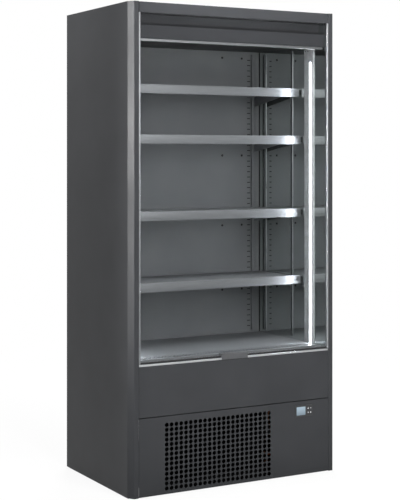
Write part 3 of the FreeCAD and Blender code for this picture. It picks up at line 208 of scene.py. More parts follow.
def mottle(finish, size, along="", detail=2.0, tones=None, rough=None, depth=None, strength=1.0):
    """Cloud a finish with noise whose patches are about size metres across.

    The noise carries the colour between two tones, the roughness between two values, and a
    relief of a real depth, each of them only where it is given. With an axis in along, the
    pattern is drawn out into lines that way. It returns the finish's material.
    """
    material, shader, place = finish
    if along:
        place = add_node(material, "ShaderNodeMapping",
                         {"Vector": place,
                          "Scale": [LINE_SQUEEZE if axis == along else 1.0 for axis in "XYZ"]}
                         ).outputs["Vector"]
    noise = add_node(material, "ShaderNodeTexNoise",
                     {"Vector": place, "Scale": 1 / size, "Detail": detail,
                      "Roughness": 0.5}).outputs["Fac"]
    if tones:
        share = add_node(material, "ShaderNodeMapRange",
                         {"Value": noise, **NOISE_RANGE, "To Min": 0.0, "To Max": 1.0})
        mixed = add_node(material, "ShaderNodeMix",
                         {"Factor": share.outputs["Result"], 6: linear(tones[0]),
                          7: linear(tones[1])}, data_type="RGBA")
        feed(material, shader.inputs["Base Color"], mixed.outputs[2])
    if rough:
        level = add_node(material, "ShaderNodeMapRange",
                         {"Value": noise, **NOISE_RANGE, "To Min": rough[0], "To Max": rough[1]})
        feed(material, shader.inputs["Roughness"], level.outputs["Result"])
    if depth:
        bump = add_node(material, "ShaderNodeBump",
                        {"Height": noise, "Distance": depth, "Strength": strength})
        feed(material, shader.inputs["Normal"], bump.outputs["Normal"])
    return material


def looked_at(owner):
    """One for a ray from the camera, a mirror or glass, and zero for one that only lights."""
    ray = add_node(owner, "ShaderNodeLightPath").outputs
    share = ray["Is Camera Ray"]
    for kind in ("Is Glossy Ray", "Is Transmission Ray"):
        share = add_node(owner, "ShaderNodeMath", {0: share, 1: ray[kind]},
                         operation="MAXIMUM").outputs[0]
    return share


# ---------------------------------------------------------------- finishes
def powder_coat(name, colour, gloss=0.23, specular=0.05):
    """Polyester powder coat on sheet steel, sprayed dry and baked.

    It gives an even satin colour with a faint orange peel and slightly clouded gloss. The
    specular level is low, because the real panels mirror little of a white room.
    """
    finish = new_finish(name, roughness=gloss, Specular_IOR_Level=specular)
    mottle(finish, 220 * MM, tones=(shade(colour, 0.97), shade(colour, 1.03)),
           rough=(gloss - 0.04, gloss + 0.04))
    # real orange peel is about 1.5 mm across, drawn at 3 mm so that it shows
    return mottle(finish, 3 * MM, depth=0.03 * MM, strength=0.6)


def silvered_glass():
    """Float glass silvered on its back: a clean, slightly green mirror with a faint haze."""
    finish = new_finish("silvered_glass", metallic=1.0, roughness=0.02)
    return mottle(finish, 120 * MM, detail=4.0, tones=("e2e8e5", "e8edeb"), rough=(0.012, 0.03))


def extruded_aluminium(name, first, second, rough_low, rough_high, along):
    """Extruded aluminium, etched and then anodised or lacquered.

    It gives fine die lines along the length, and satin between them.
    """
    finish = new_finish(name, metallic=1.0, roughness=rough_low)
    # real die lines are about 0.3 mm apart, drawn at 1.2 mm so that they show
    return mottle(finish, 1.2 * MM, along, detail=3.0, tones=(first, second),
                  rough=(rough_low, rough_high), depth=0.01 * MM, strength=0.5)


def opal_acrylic(colour, strength, seen_strength):
    """Co-extruded acrylic over a row of diodes.

    Its opal middle glows white, a little stronger at each diode, between closed pale edges.
    """
    material, shader, place = new_finish("opal_acrylic", roughness=0.35)
    low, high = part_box("led_diffusers")
    half_opal, edge_blur = 7 * MM, 0.5 * MM
    depth = add_node(material, "ShaderNodeSeparateXYZ", {"Vector": place}).outputs["Y"]
    off = add_node(material, "ShaderNodeMath", {0: depth, 1: (low[1] + high[1]) / 2},
                   operation="SUBTRACT").outputs[0]
    off = add_node(material, "ShaderNodeMath", {0: off}, operation="ABSOLUTE").outputs[0]
    opal = add_node(material, "ShaderNodeMapRange",
                    {"Value": off, "From Min": half_opal - edge_blur,
                     "From Max": half_opal + edge_blur, "To Min": 1.0,
                     "To Max": 0.0}).outputs["Result"]
    # the diodes sit 24 mm apart
    wave = add_node(material, "ShaderNodeTexWave", {"Vector": place, "Scale": WAVE / (24 * MM)},
                    bands_direction="Z").outputs["Fac"]
    glow = add_node(material, "ShaderNodeMapRange",
                    {"Value": wave, "To Min": strength * 0.9,
                     "To Max": strength * 1.1}).outputs["Result"]
    # a lamp this bright blurs past its edges in the picture, so it is looked at with less
    seen = add_node(material, "ShaderNodeLightPath").outputs["Is Camera Ray"]
    level = add_node(material, "ShaderNodeMapRange",
                     {"Value": seen, "To Min": 1.0,
                      "To Max": seen_strength / strength}).outputs["Result"]
    for factor in (opal, level):
        glow = add_node(material, "ShaderNodeMath", {0: glow, 1: factor},
                        operation="MULTIPLY").outputs[0]
    shader.inputs["Base Color"].default_value = linear("c6c8c9")
    shader.inputs["Emission Color"].default_value = linear(colour)
    feed(material, shader.inputs["Emission Strength"], glow)
    return material


def moulded_plastic(name, colour, roughness=0.5, grain_size=0.8 * MM):
    """Injection-moulded ABS, polycarbonate, polypropylene or silicone.

    Its spark-eroded grain breaks up the gloss, and the colour is clouded a little.
    """
    finish = new_finish(name, roughness=roughness)
    mottle(finish, 30 * MM, tones=(shade(colour, 0.94), shade(colour, 1.06)))
    # the real grain is about 0.2 mm across, drawn coarser so that it shows
    return mottle(finish, grain_size, detail=3.0, rough=(roughness - 0.07, roughness + 0.07),
                  depth=0.02 * MM)


def synthetic_rubber():
    """Extruded black rubber: dull, with a light bloom in streaks along the strip."""
    finish = new_finish("synthetic_rubber", roughness=0.75, Specular_IOR_Level=0.35)
    return mottle(finish, 1.5 * MM, "X", detail=3.0, tones=("141415", "202122"), rough=(0.65, 0.82),
                  depth=0.03 * MM)


def galvanised_steel():
    """Hot-dip galvanised sheet: zinc crystals about 9 mm across, each with its own grey."""
    finish = new_finish("galvanised_steel", metallic=1.0, roughness=0.42)
    material, shader, place = finish
    spangle = add_node(material, "ShaderNodeTexVoronoi", {"Vector": place, "Scale": 1 / (9 * MM)})
    tone = add_node(material, "ShaderNodeSeparateColor",
                    {"Color": spangle.outputs["Color"]}).outputs["Red"]
    mixed = add_node(material, "ShaderNodeMix",
                     {"Factor": tone, 6: linear("a2a6a9"), 7: linear("c0c3c5")},
                     data_type="RGBA")
    feed(material, shader.inputs["Base Color"], mixed.outputs[2])
    level = add_node(material, "ShaderNodeMapRange",
                     {"Value": tone, "To Min": 0.36, "To Max": 0.52})
    feed(material, shader.inputs["Roughness"], level.outputs["Result"])
    mottle(finish, 2 * MM, depth=0.01 * MM)
    return material


def film_faced_foam():
    """Foam board drawn near black, as painted shade of the dark duct behind the rear panel's holes:
    dull, with soft dents from the foam's cells.
    """
    finish = new_finish("film_faced_foam", roughness=0.7, Specular_IOR_Level=0.2)
    # near black tones: painted shade of the duct seen through the rear panel's holes
    mottle(finish, 50 * MM, tones=("121213", "19191a"))
    material, shader, place = finish
    # real cells are under 1 mm across, drawn at 4 mm so that they show
    cell = add_node(material, "ShaderNodeTexVoronoi", {"Vector": place, "Scale": 1 / (4 * MM)})
    bump = add_node(material, "ShaderNodeBump",
                    {"Height": cell.outputs["Distance"], "Distance": 0.2 * MM, "Strength": 1.0})
    feed(material, shader.inputs["Normal"], bump.outputs["Normal"])
    return material


def aluminised_cloth(colour):
    """Woven polyester with an aluminium coat: a fine plain weave with a dull metallic sheen."""
    material, shader, place = new_finish("aluminised_cloth", metallic=0.35, roughness=0.55,
                                         Sheen_Weight=0.15)
    # threads are 0.4 mm apart, drawn at 4 mm so that they show
    warp, weft = (
        add_node(material, "ShaderNodeTexWave", {"Vector": place, "Scale": WAVE / (4 * MM)},
                 bands_direction=axis).outputs["Fac"]
        for axis in "XZ"
    )
    weave = add_node(material, "ShaderNodeMath", {0: warp, 1: weft},
                     operation="MULTIPLY").outputs[0]
    mixed = add_node(material, "ShaderNodeMix",
                     {"Factor": weave, 6: linear(shade(colour, 0.85)),
                      7: linear(shade(colour, 1.08))}, data_type="RGBA")
    feed(material, shader.inputs["Base Color"], mixed.outputs[2])
    bump = add_node(material, "ShaderNodeBump",
                    {"Height": weave, "Distance": 0.1 * MM, "Strength": 1.0})
    feed(material, shader.inputs["Normal"], bump.outputs["Normal"])
    return material


def drawn_copper():
    """Drawn copper pipe, handled and aged: pink metal clouded with brown."""
    finish = new_finish("drawn_copper", metallic=1.0, roughness=0.32)
    return mottle(finish, 20 * MM, detail=4.0, tones=("9a5c3c", "c98661"), rough=(0.22, 0.45))


def black_lacquer():
    """Dipped black lacquer: even and slightly glossy, with thin runs."""
    finish = new_finish("dipped_black_lacquer", roughness=0.35)
    return mottle(finish, 20 * MM, "Z", tones=("0b0b0c", "131415"), rough=(0.27, 0.45),
                  depth=0.05 * MM)


def mill_finish_aluminium():
    """Rolled aluminium straight from the mill: bright grey with soft rolling streaks."""
    finish = new_finish("mill_finish_aluminium", metallic=1.0, roughness=0.4)
    return mottle(finish, 4 * MM, "X", detail=3.0, tones=("b3b6b8", "c8cacb"), rough=(0.32, 0.5),
                  depth=0.01 * MM)


def zinc_plate():
    """Electroplated zinc, blue passivated: pale metal with a cloudy, slightly blue cast."""
    finish = new_finish("zinc_plate", metallic=1.0, roughness=0.35)
    return mottle(finish, 6 * MM, detail=3.0, tones=("a9adb2", "c2c4c2"), rough=(0.25, 0.45))


def blackened_steel():
    """Black oxide on steel screws: near black, with an oily gloss."""
    finish = new_finish("blackened_steel", metallic=1.0, roughness=0.4)
    return mottle(finish, 2 * MM, tones=("1c1c1d", "303132"), rough=(0.32, 0.5))


def liquid_crystal_pane():
    """Hard-coated polycarbonate over a pale blue-grey cell, painted lighter towards its top as
    light from above.
    """
    material, shader, place = new_finish("liquid_crystal_pane", roughness=0.12, Coat_Weight=0.6)
    low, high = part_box("controller_bezel")
    rise = add_node(material, "ShaderNodeSeparateXYZ", {"Vector": place}).outputs["Z"]
    top = add_node(material, "ShaderNodeMapRange",
                   {"Value": rise, "From Min": low[2], "From Max": high[2]}).outputs["Result"]
    # painted light: the cell's colour runs lighter towards the top of the bezel
    mixed = add_node(material, "ShaderNodeMix",
                     {"Factor": top, 6: linear("4c5a64"), 7: linear("8496a2")},
                     data_type="RGBA")
    feed(material, shader.inputs["Base Color"], mixed.outputs[2])
    shader.inputs["Emission Color"].default_value = linear("9fb6c6")
    shader.inputs["Emission Strength"].default_value = 0.06
    return material


def screen_printed_white():
    """Screen-printed mark: pale grey ink, slightly uneven."""
    finish = new_finish("screen_printed_white")
    return mottle(finish, 1 * MM, tones=("d2d4d7", "e4e6e8"))


# ---------------------------------------------------------------- mesh helpers
def dress(material, *names):
    """Give CAD nodes a finish."""
    for name in names:
        if name not in NODES:
            raise RuntimeError(f"the frame holds no node {name}")
        data = NODES[name].data
        if not data.materials:
            data.materials.append(material)
        for i in range(len(data.materials)):
            NODES[name].material_slots[i].link = "OBJECT"
            NODES[name].material_slots[i].material = material


# edges that bend by more than this many degrees stay sharp
SMOOTH_ANGLE = 35


def new_piece(name, mesh, material, body):
    """A piece from a bmesh, with its finish, on its body."""
    data = bpy.data.meshes.new(name)
    bmesh.ops.recalc_face_normals(mesh, faces=mesh.faces)
    mesh.to_mesh(data)
    mesh.free()
    data.materials.append(material)
    piece = bpy.data.objects.new(name, data)
    bpy.context.scene.collection.objects.link(piece)
    data.shade_smooth()
    data.set_sharp_from_angle(angle=math.radians(SMOOTH_ANGLE))
    if body:
        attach(piece, body)
    return piece


def finish_of(name):
    """A material that an earlier step made."""
    return bpy.data.materials[name]


# a pan head in shares of its radius: reach and rise of its outline, then of the cross in its top
HEAD_OUTLINE = ((1.0, 0.0), (1.0, 0.12), (0.94, 0.3), (0.8, 0.44), (0.62, 0.52))
HEAD_SIDES = 24
CROSS_REACH, CROSS_HALF, CROSS_TAPER = 0.46, 0.1, 0.8
CROSS_TOP, CROSS_FLOOR = 0.54, 0.24


def add_screw(mesh, place, outward, radius):
    """A pan-head screw: a domed lathe whose top closes round a sunken cross."""
    turn = Vector((0, 0, 1)).rotation_difference(Vector(outward).normalized())
    spot = Matrix.Translation(Vector(place)) @ turn.to_matrix().to_4x4()

    def ring(points, rise):
        return [mesh.verts.new(spot @ Vector((radius * x, radius * y, radius * rise)))
                for x, y in points]

    def band(low, high):
        for i in range(len(low)):
            j = (i + 1) % len(low)
            mesh.faces.new((low[i], low[j], high[j], high[i]))

    def loop(corners):
        return [(corners[i], corners[(i + 1) % len(corners)]) for i in range(len(corners))]

    circle = [(math.cos(2 * math.pi * i / HEAD_SIDES), math.sin(2 * math.pi * i / HEAD_SIDES))
              for i in range(HEAD_SIDES)]
    rings = [ring([(reach * x, reach * y) for x, y in circle], rise)
             for reach, rise in HEAD_OUTLINE]
    for low, high in zip(rings, rings[1:]):
        band(low, high)
    mesh.faces.new(rings[0][::-1])
    a, h = CROSS_REACH, CROSS_HALF
    cross = [(a, h), (h, h), (h, a), (-h, a), (-h, h), (-a, h),
             (-a, -h), (-h, -h), (-h, -a), (h, -a), (h, -h), (a, -h)]
    edge = ring(cross, CROSS_TOP)
    floor = ring([(x * CROSS_TAPER, y * CROSS_TAPER) for x, y in cross], CROSS_FLOOR)
    edges = [mesh.edges.new(pair) for pair in loop(edge)]
    edges += [mesh.edges.get(pair) for pair in loop(rings[-1])]
    bmesh.ops.triangle_fill(mesh, edges=edges, use_beauty=True)
    band(floor, edge)
    mesh.faces.new(floor)


def screws(name, places, outward, radius, material, body):
    """A set of like screws as one piece."""
    mesh = bmesh.new()
    for place in places:
        add_screw(mesh, place, outward, radius)
    return new_piece(name, mesh, material, body)


def plate(points, low, high):
    """A flat plate with an outline in the X-Z plane, from depth low to high along Y."""
    mesh = bmesh.new()
    front = [mesh.verts.new((x, low, z)) for x, z in points]
    back = [mesh.verts.new((x, high, z)) for x, z in points]
    mesh.faces.new(front)
    mesh.faces.new(back[::-1])
    for i in range(len(points)):
        j = (i + 1) % len(points)
        mesh.faces.new((front[i], front[j], back[j], back[i]))
    return mesh


def rounded_outline(corners, radius, steps=4):
    """The outline of a rounded rectangle between two corners."""
    (x0, z0), (x1, z1) = corners
    points = []
    for cx, cz, start in ((x1 - radius, z1 - radius, 0), (x0 + radius, z1 - radius, 90),
                          (x0 + radius, z0 + radius, 180), (x1 - radius, z0 + radius, 270)):
        for i in range(steps + 1):
            angle = math.radians(start + 90 * i / steps)
            points.append((cx + radius * math.cos(angle), cz + radius * math.sin(angle)))
    return points


def grid(rows):
    """A strip of faces between rows of points."""
    mesh = bmesh.new()
    rows = [[mesh.verts.new(point) for point in row] for row in rows]
    for near, far in zip(rows, rows[1:]):
        for c in range(len(near) - 1):
            mesh.faces.new((near[c], near[c + 1], far[c + 1], far[c]))
    return mesh


def across(half, columns):
    """Places from -half to half along X."""
    return [-half + 2 * half * c / columns for c in range(columns + 1)]


def middle_of(low, high):
    """The middle between two corners."""
    return (Vector(low) + Vector(high)) / 2


# ---------------------------------------------------------------- operators
class FRIDGE_OT_casing(bpy.types.Operator):
    """Paint the outer panels"""

    bl_idname = "fridge.casing"
    bl_label = "Casing"

    def execute(self, context):
        colours, _ = settings()
        dress(powder_coat("anthracite_powder_coat", colours.casing), "side_panel_left",
              "side_panel_right", "top_panel", "rear_panel", "header_fascia", "mid_front_panel",
              "lower_front_panel")
        # the cassette takes the casing's colour drawn darker: painted shade of its recess under the
        # header
        dress(powder_coat("cassette_powder_coat", shade(colours.casing, 0.84)), "blind_cassette")
        dress(galvanised_steel(), "base_rails", "rear_service_panel", "evaporator_tub",
              "evaporator_fan_plate")
        # these are drawn matt black: partly their own dark coat, partly painted shade of the unlit
        # compartment seen through the grille's holes
        dress(powder_coat("matt_black_powder_coat", "09090a", 0.7, 0.03), "base_pan",
              "condenser_fan_shroud", "condenser_coil")
        dress(film_faced_foam(), "insulation_foam")
        return {"FINISHED"}


class FRIDGE_OT_sill(bpy.types.Operator):
    """Finish the sill's rail, strip and catch, and the blind's bar"""

    bl_idname = "fridge.sill"
    bl_label = "Sill"

    def execute(self, context):
        dress(extruded_aluminium("satin_anodised_aluminium", "a0a2a4", "b0b2b4", 0.26, 0.4, "X"),
              "front_rail")
        dress(extruded_aluminium("grey_anodised_aluminium", "5c5e60", "666869", 0.35, 0.5, "X"),
              "blind_bar")
        dress(synthetic_rubber(), "front_gasket_strip")
        dress(moulded_plastic("dark_grained_abs", "38393b", 0.45), "blind_catch")
        return {"FINISHED"}


class FRIDGE_OT_interior(bpy.types.Operator):
    """Finish the inner panels, mirrors and trims"""

    bl_idname = "fridge.interior"
    bl_label = "Interior"

    def execute(self, context):
        colours, _ = settings()
        # the ceiling takes the interior colour drawn much darker: painted shade where the shelf
        # lights don't reach
        dress(powder_coat("ceiling_powder_coat", shade(colours.interior, 0.42), 0.4),
              "ceiling_panel")
        dress(powder_coat("interior_powder_coat", colours.interior, 0.4), "inner_rear_panel",
              "slotted_uprights", "shelf_brackets", "base_deck",
              "return_air_grille", "shelf_deck_1", "shelf_deck_2", "shelf_deck_3", "shelf_deck_4")
        dress(silvered_glass(), "side_mirrors")
        dress(extruded_aluminium("trim_aluminium", "787a7c", "838587", 0.26, 0.36, "Z"),
              "mirror_trims")
        dress(moulded_plastic("matt_black_polypropylene", "141415", 0.55), "air_outlet_honeycomb")
        return {"FINISHED"}


class FRIDGE_OT_lights(bpy.types.Operator):
    """Finish the light carriers and their covers"""

    bl_idname = "fridge.lights"
    bl_label = "Lights"

    def execute(self, context):
        colours, _ = settings()
        studio = context.scene.fridge_studio
        dress(moulded_plastic("light_grey_polycarbonate", "7c7e80", 0.4), "led_profiles")
        dress(opal_acrylic(colours.light, studio.light_strength, studio.light_seen),
              "led_diffusers")
        return {"FINISHED"}


class FRIDGE_OT_shelf_rails(bpy.types.Operator):
    """Finish the shelf rails"""

    bl_idname = "fridge.shelf_rails"
    bl_label = "Shelf rails"

    def execute(self, context):
        colours, _ = settings()
        tone = colours.shelf_rail
        dress(extruded_aluminium("lacquered_rail_aluminium", shade(tone, 0.95), shade(tone, 1.05),
                                 0.36, 0.48, "X"),
              "price_rail_1", "price_rail_2", "price_rail_3", "price_rail_4")
        return {"FINISHED"}


class FRIDGE_OT_refrigeration(bpy.types.Operator):
    """Finish the refrigeration unit, its pipes, the blind's tube and the feet"""

    bl_idname = "fridge.refrigeration"
    bl_label = "Refrigeration"

    def execute(self, context):
        dress(black_lacquer(), "compressor")
        dress(mill_finish_aluminium(), "evaporator_coil", "blind_tube")
        dress(drawn_copper(), "refrigerant_pipes")
        dress(moulded_plastic("black_polypropylene", "161718", 0.5), "condenser_fan_blades",
              "evaporator_fan_blades_left", "evaporator_fan_blades_right", "condensate_tray")
        dress(moulded_plastic("grey_polycarbonate", "a5a6a4", 0.45), "electrical_box")
        dress(zinc_plate(), "fan_motors", "levelling_foot_front_left",
              "levelling_foot_front_right", "levelling_foot_rear_left",
              "levelling_foot_rear_right")
        return {"FINISHED"}


# the pane's recess: its middle lies this far left of the bezel's, and half its width and height
PANE_LEFT = 15 * MM
RECESS_HALF = (23 * MM, 18 * MM)
PANE_CORNER = 1.5 * MM
# from the bezel's face to the front and the back of the pane
PANE_DEPTHS = (0.1 * MM, 0.6 * MM)
INK_THICKNESS = 0.12 * MM
# each key's mark, in halves of its size: arrow up, set bar, arrow down, ring
KEY_MARKS = (
    [(-1, -0.6), (1, -0.6), (0, 0.9)],
    [(-1, -0.25), (1, -0.25), (1, 0.25), (-1, 0.25)],
    [(-1, 0.6), (0, -0.9), (1, 0.6)],
    [(math.cos(i * math.pi / 8) * 0.8, math.sin(i * math.pi / 8) * 0.8) for i in range(16)],
)


class FRIDGE_OT_controller(bpy.types.Operator):
    """Finish the controller and add its pane and the marks on its keys"""

    bl_idname = "fridge.controller"
    bl_label = "Controller"

    def execute(self, context):
        _, sizes = settings()
        dress(moulded_plastic("dark_polycarbonate", "1d1e20", 0.35), "controller_bezel")
        dress(moulded_plastic("dark_silicone_rubber", "242528", 0.6, 0.5 * MM), "button_1",
              "button_2", "button_3", "button_4")
        low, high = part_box("controller_bezel")
        middle = middle_of(low, high)
        x, z = middle.x - PANE_LEFT, middle.z
        wide, tall = (half - sizes.pane_gap for half in RECESS_HALF)
        outline = rounded_outline(((x - wide, z - tall), (x + wide, z + tall)), PANE_CORNER)
        front, back = (low[1] + depth for depth in PANE_DEPTHS)
        pane = new_piece("display_pane", plate(outline, front, back), liquid_crystal_pane(),
                         "lower_panel")
        ink = screen_printed_white()
        half = sizes.key_mark / 2
        for number, mark in enumerate(KEY_MARKS, 1):
            low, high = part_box(f"button_{number}")
            middle = middle_of(low, high)
            outline = [(middle.x + x * half, middle.z + z * half) for x, z in mark]
            piece = new_piece(f"key_mark_{number}", plate(outline, low[1] - INK_THICKNESS, low[1]),
                              ink, f"button_{number}")
        return {"FINISHED"}


# the first turn of the cloth clears the tube by this
TUBE_GAP = 0.1 * MM
STEPS_A_TURN = 40
WOUND_COLUMNS = 12
FREE_COLUMNS, FREE_LEVELS = 24, 60


class FRIDGE_OT_blind_cloth(bpy.types.Operator):
    """Wind the blind's cloth on its roller and hang its free end to the bar"""

    bl_idname = "fridge.blind_cloth"
    bl_label = "Blind cloth"

    def execute(self, context):
        colours, sizes = settings()
        cloth = aluminised_cloth(colours.blind)
        low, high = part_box("blind_roll")
        half = (high[0] - low[0]) / 2
        self.wound(cloth, half, sizes.cloth_pitch)
        self.free(cloth, half)
        return {"FINISHED"}

    def wound(self, cloth, half, pitch):
        """A spiral that ends at the front of the roll, where the cloth leaves it downwards."""
        low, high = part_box("blind_roll")
        tube_low, tube_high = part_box("blind_tube")
        axis = middle_of(low, high)
        outer = (high[2] - low[2]) / 2
        inner = (tube_high[2] - tube_low[2]) / 2 + TUBE_GAP
        turns = (outer - inner) / pitch
        steps = int(turns * STEPS_A_TURN)
        spiral = []
        for i in range(steps + 1):
            share = i / steps
            radius = inner + (outer - inner) * share
            angle = math.pi - 2 * math.pi * turns * (1 - share)
            spiral.append((axis.y + radius * math.cos(angle), axis.z + radius * math.sin(angle)))
        rows = [[(x, y, z) for x in across(half, WOUND_COLUMNS)] for y, z in spiral]
        piece = new_piece("blind_cloth_wound", grid(rows), cloth, "blind_roller")
        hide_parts("blind_roll")

    def free(self, cloth, half):
        """The short stretch from the roll to the bar."""
        low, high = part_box("blind_fabric")
        y = (low[1] + high[1]) / 2
        drop = high[2] - low[2]
        rows = [[(x, y, high[2] - drop * r / FREE_LEVELS) for x in across(half, FREE_COLUMNS)]
                for r in range(FREE_LEVELS + 1)]
        piece = new_piece("blind_cloth_free", grid(rows), cloth, None)
        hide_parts("blind_fabric")
        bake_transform(piece)


# the liner's screws: inwards of each mirror's outer edge, under the ceiling, under each deck
LINER_INSETS = (101 * MM, 207 * MM)
UNDER_CEILING = 31 * MM
UNDER_DECK = 60 * MM
# the light carriers' screws: from the carrier's outer face and front, and from its two ends
CARRIER_INSET = 6 * MM
CARRIER_DEPTHS = (38 * MM, 58 * MM)
CARRIER_ENDS = (6 * MM, 8 * MM)
CARRIER_SCREW_SHARE = 0.75
# the service panel's screws: from its sides, and from its top and bottom edges
SERVICE_INSET = 14 * MM
SERVICE_MARGIN = 12 * MM


class FRIDGE_OT_screws(bpy.types.Operator):
    """Add the screws of the inner panel, the lights and the service panel"""

    bl_idname = "fridge.screws"
    bl_label = "Screws"

    def execute(self, context):
        _, sizes = settings()
        radius = sizes.screw_head / 2
        dark = blackened_steel()
        self.liner(sizes.liner_screw / 2, dark)
        self.lights(radius * CARRIER_SCREW_SHARE, dark)
        self.rear(radius, finish_of("zinc_plate"))
        return {"FINISHED"}

    def liner(self, radius, material):
        """Two columns of screws on each side of the inner rear panel."""
        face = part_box("slotted_uprights")[1][1]
        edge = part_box("side_mirrors")[1][0]
        levels = [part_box("ceiling_panel")[0][2] - UNDER_CEILING]
        levels += [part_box(f"shelf_deck_{i}")[0][2] - UNDER_DECK for i in range(2, 5)]
        places = [(side * (edge - inset), face, z)
                  for side in (-1, 1) for inset in LINER_INSETS for z in levels]
        piece = screws("liner_screws", places, (0, -1, 0), radius, material, "cabinet")

    def lights(self, radius, material):
        """Screws of the light carriers, behind their diffusers."""
        low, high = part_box("led_profiles")
        face = high[0] - CARRIER_INSET
        levels = (low[2] + CARRIER_ENDS[0], high[2] - CARRIER_ENDS[1])
        for side, label in ((-1, "left"), (1, "right")):
            places = [(side * face, low[1] + depth, z) for depth in CARRIER_DEPTHS for z in levels]
            piece = screws(f"light_screws_{label}", places, (-side, 0, 0), radius, material,
                           "cabinet")

    def rear(self, radius, material):
        """Screws of the rear service panel, along its top and bottom edges."""
        low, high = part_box("rear_service_panel")
        edge = high[0] - SERVICE_INSET
        places = [(x, high[1], z) for x in (-edge, -edge / 3, edge / 3, edge)
                  for z in (low[2] + SERVICE_MARGIN, high[2] - SERVICE_MARGIN)]
        piece = screws("service_panel_screws", places, (0, 1, 0), radius, material, "cabinet")


# each lamp: its power's setting, place, the point that it faces, width, height, spread in degrees
LAMPS = {
    "key_softbox": ("key_power", (-4.6, -0.72, 2.15), (-0.49, -1.85, 1.85), 0.35, 2.2, 44),
    "low_softbox": ("low_power", (-4.6, -0.72, 0.48), (-0.49, -1.85, 0.5), 0.35, 0.9, 44),
    "side_softbox": ("side_power", (-2.2, 0.7, 3.4), (-0.5, 0.3, 2.2), 0.6, 0.6, 90),
    "top_softbox": ("top_power", (-0.3, -2.3, 3.8), (0, -0.3, 1.6), 1.4, 1.0, 180),
    "fill_softbox": ("fill_power", (-0.2, -3.0, 1.9), (0, -0.3, 1.4), 1.4, 1.2, 180),
    "header_softbox": ("header_power", (-0.2, -3.0, 1.0), (0, -0.4, 2.2), 0.8, 0.5, 28),
    "back_softbox": ("back_power", (1.5, 3.2, 2.4), (0, 0, 1.2), 1.6, 1.6, 180),
}
WHITE = linear("ffffff")
FLOOR_HALF = 14.0
FLOOR_GAP = 0.5 * MM
# this share of the floor's look is lit and takes the shadow, and it fades out between these
# distances from the middle
FLOOR_SHADOW = 0.1
SHADOW_FADES = (1.0, 3.5)


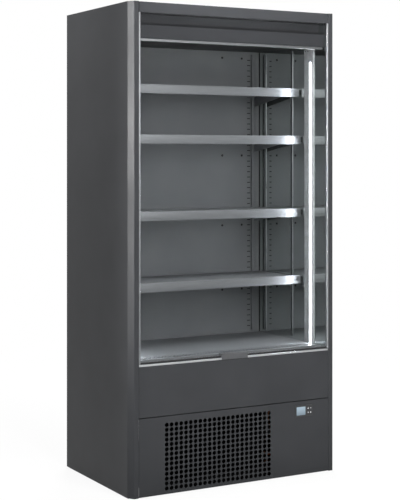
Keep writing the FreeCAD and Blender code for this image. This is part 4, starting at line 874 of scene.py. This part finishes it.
class FRIDGE_OT_stage(bpy.types.Operator):
    """Set up the floor, the lamps, the world and the camera"""

    bl_idname = "fridge.stage"
    bl_label = "Stage"

    def execute(self, context):
        studio = context.scene.fridge_studio
        self.floor()
        self.world(studio.ambient)
        for name, (power, *rest) in LAMPS.items():
            self.lamp(name, getattr(studio, power), *rest)
        self.camera(studio)
        context.scene.view_settings.view_transform = "Standard"
        return {"FINISHED"}

    def floor(self):
        """A pale matt floor that keeps the shadow, and fades to plain white far out."""
        finish = new_finish("white_studio_floor", roughness=0.9, Specular_IOR_Level=0.0)
        mottle(finish, 600 * MM, tones=("f0f0f0", "f3f3f3"))
        material, shader, place = finish
        reach = add_node(material, "ShaderNodeVectorMath", {0: place},
                         operation="LENGTH").outputs["Value"]
        pale = add_node(material, "ShaderNodeMapRange",
                        {"Value": reach, "From Min": SHADOW_FADES[0], "From Max": SHADOW_FADES[1],
                         "To Min": 1 - FLOOR_SHADOW, "To Max": 1.0},
                        interpolation_type="SMOOTHSTEP").outputs["Result"]
        share = add_node(material, "ShaderNodeMath", {0: looked_at(material), 1: pale},
                         operation="MULTIPLY").outputs[0]
        white = add_node(material, "ShaderNodeEmission", {"Color": WHITE, "Strength": 1.0})
        mix = add_node(material, "ShaderNodeMixShader",
                       {"Fac": share, 1: shader.outputs[0], 2: white.outputs[0]})
        feed(material, material.node_tree.nodes["Material Output"].inputs["Surface"],
             mix.outputs[0])
        mesh = bmesh.new()
        bmesh.ops.create_grid(mesh, x_segments=8, y_segments=8, size=FLOOR_HALF)
        data = bpy.data.meshes.new("studio_floor")
        mesh.to_mesh(data)
        mesh.free()
        data.materials.append(material)
        floor = bpy.data.objects.new("studio_floor", data)
        floor.location.z = CAD_BOX[0][2] - FLOOR_GAP
        bpy.context.scene.collection.objects.link(floor)

    def world(self, ambient):
        """White where it is seen, softer where it lights."""
        world = bpy.data.worlds.new("studio_world")
        bpy.context.scene.world = world
        world.use_nodes = True
        world.node_tree.nodes.clear()
        soft = add_node(world, "ShaderNodeBackground", {"Color": WHITE, "Strength": ambient})
        full = add_node(world, "ShaderNodeBackground", {"Color": WHITE, "Strength": 1.0})
        mix = add_node(world, "ShaderNodeMixShader",
                       {"Fac": looked_at(world), 1: soft.outputs[0], 2: full.outputs[0]})
        add_node(world, "ShaderNodeOutputWorld", {"Surface": mix.outputs[0]})

    def lamp(self, name, power, place, aim, wide, tall, spread):
        """A soft rectangular lamp that faces a point, its beam held to a spread in degrees."""
        data = bpy.data.lights.new(name, "AREA")
        data.shape = "RECTANGLE"
        data.spread = math.radians(spread)
        data.size = wide
        data.size_y = tall
        data.energy = power
        lamp = bpy.data.objects.new(name, data)
        lamp.location = place
        lamp.rotation_euler = (Vector(aim) - Vector(place)).to_track_quat("-Z", "Y").to_euler()
        bpy.context.scene.collection.objects.link(lamp)

    def camera(self, studio):
        """The camera at the photograph's angle."""
        data = bpy.data.cameras.new("photo_camera")
        data.sensor_width = 36.0
        data.lens = studio.focal_length
        data.shift_y = studio.shift_down
        data.clip_start = 0.1
        data.clip_end = 60.0
        camera = bpy.data.objects.new("photo_camera", data)
        camera.location = studio.camera_place
        camera.rotation_euler = (math.radians(90), 0, studio.camera_yaw)
        bpy.context.scene.collection.objects.link(camera)
        bpy.context.scene.camera = camera


class FRIDGE_PT_panel(bpy.types.Panel):
    """Lists the steps that build and light the fridge"""

    bl_idname = "FRIDGE_PT_panel"
    bl_label = "Display fridge"
    bl_space_type = "VIEW_3D"
    bl_region_type = "UI"
    bl_category = "Fridge"

    def draw(self, context):
        for group in ("fridge_colours", "fridge_sizes", "fridge_studio"):
            settings_group = getattr(context.scene, group)
            box = self.layout.box()
            for name in settings_group.__annotations__:
                box.prop(settings_group, name)
        for step in STEPS:
            self.layout.operator(step.bl_idname)


STEPS = (
    FRIDGE_OT_casing,
    FRIDGE_OT_sill,
    FRIDGE_OT_interior,
    FRIDGE_OT_lights,
    FRIDGE_OT_shelf_rails,
    FRIDGE_OT_refrigeration,
    FRIDGE_OT_controller,
    FRIDGE_OT_blind_cloth,
    FRIDGE_OT_screws,
    FRIDGE_OT_stage,
)
CLASSES = (FridgeColours, FridgeSizes, FridgeStudio) + STEPS + (FRIDGE_PT_panel,)


def register():
    """Register the classes and hang the settings on the scene."""
    for cls in CLASSES:
        bpy.utils.register_class(cls)
    bpy.types.Scene.fridge_colours = PointerProperty(type=FridgeColours)
    bpy.types.Scene.fridge_sizes = PointerProperty(type=FridgeSizes)
    bpy.types.Scene.fridge_studio = PointerProperty(type=FridgeStudio)


def unregister():
    """Take the settings and classes away again."""
    del bpy.types.Scene.fridge_studio
    del bpy.types.Scene.fridge_sizes
    del bpy.types.Scene.fridge_colours
    for cls in reversed(CLASSES):
        bpy.utils.unregister_class(cls)


def main():
    """Run every step in order."""
    register()
    for step in STEPS:
        group, name = step.bl_idname.split(".")
        if getattr(getattr(bpy.ops, group), name)() != {"FINISHED"}:
            raise RuntimeError(f"{step.bl_label} did not finish")


if __name__ == "__main__":
    main()
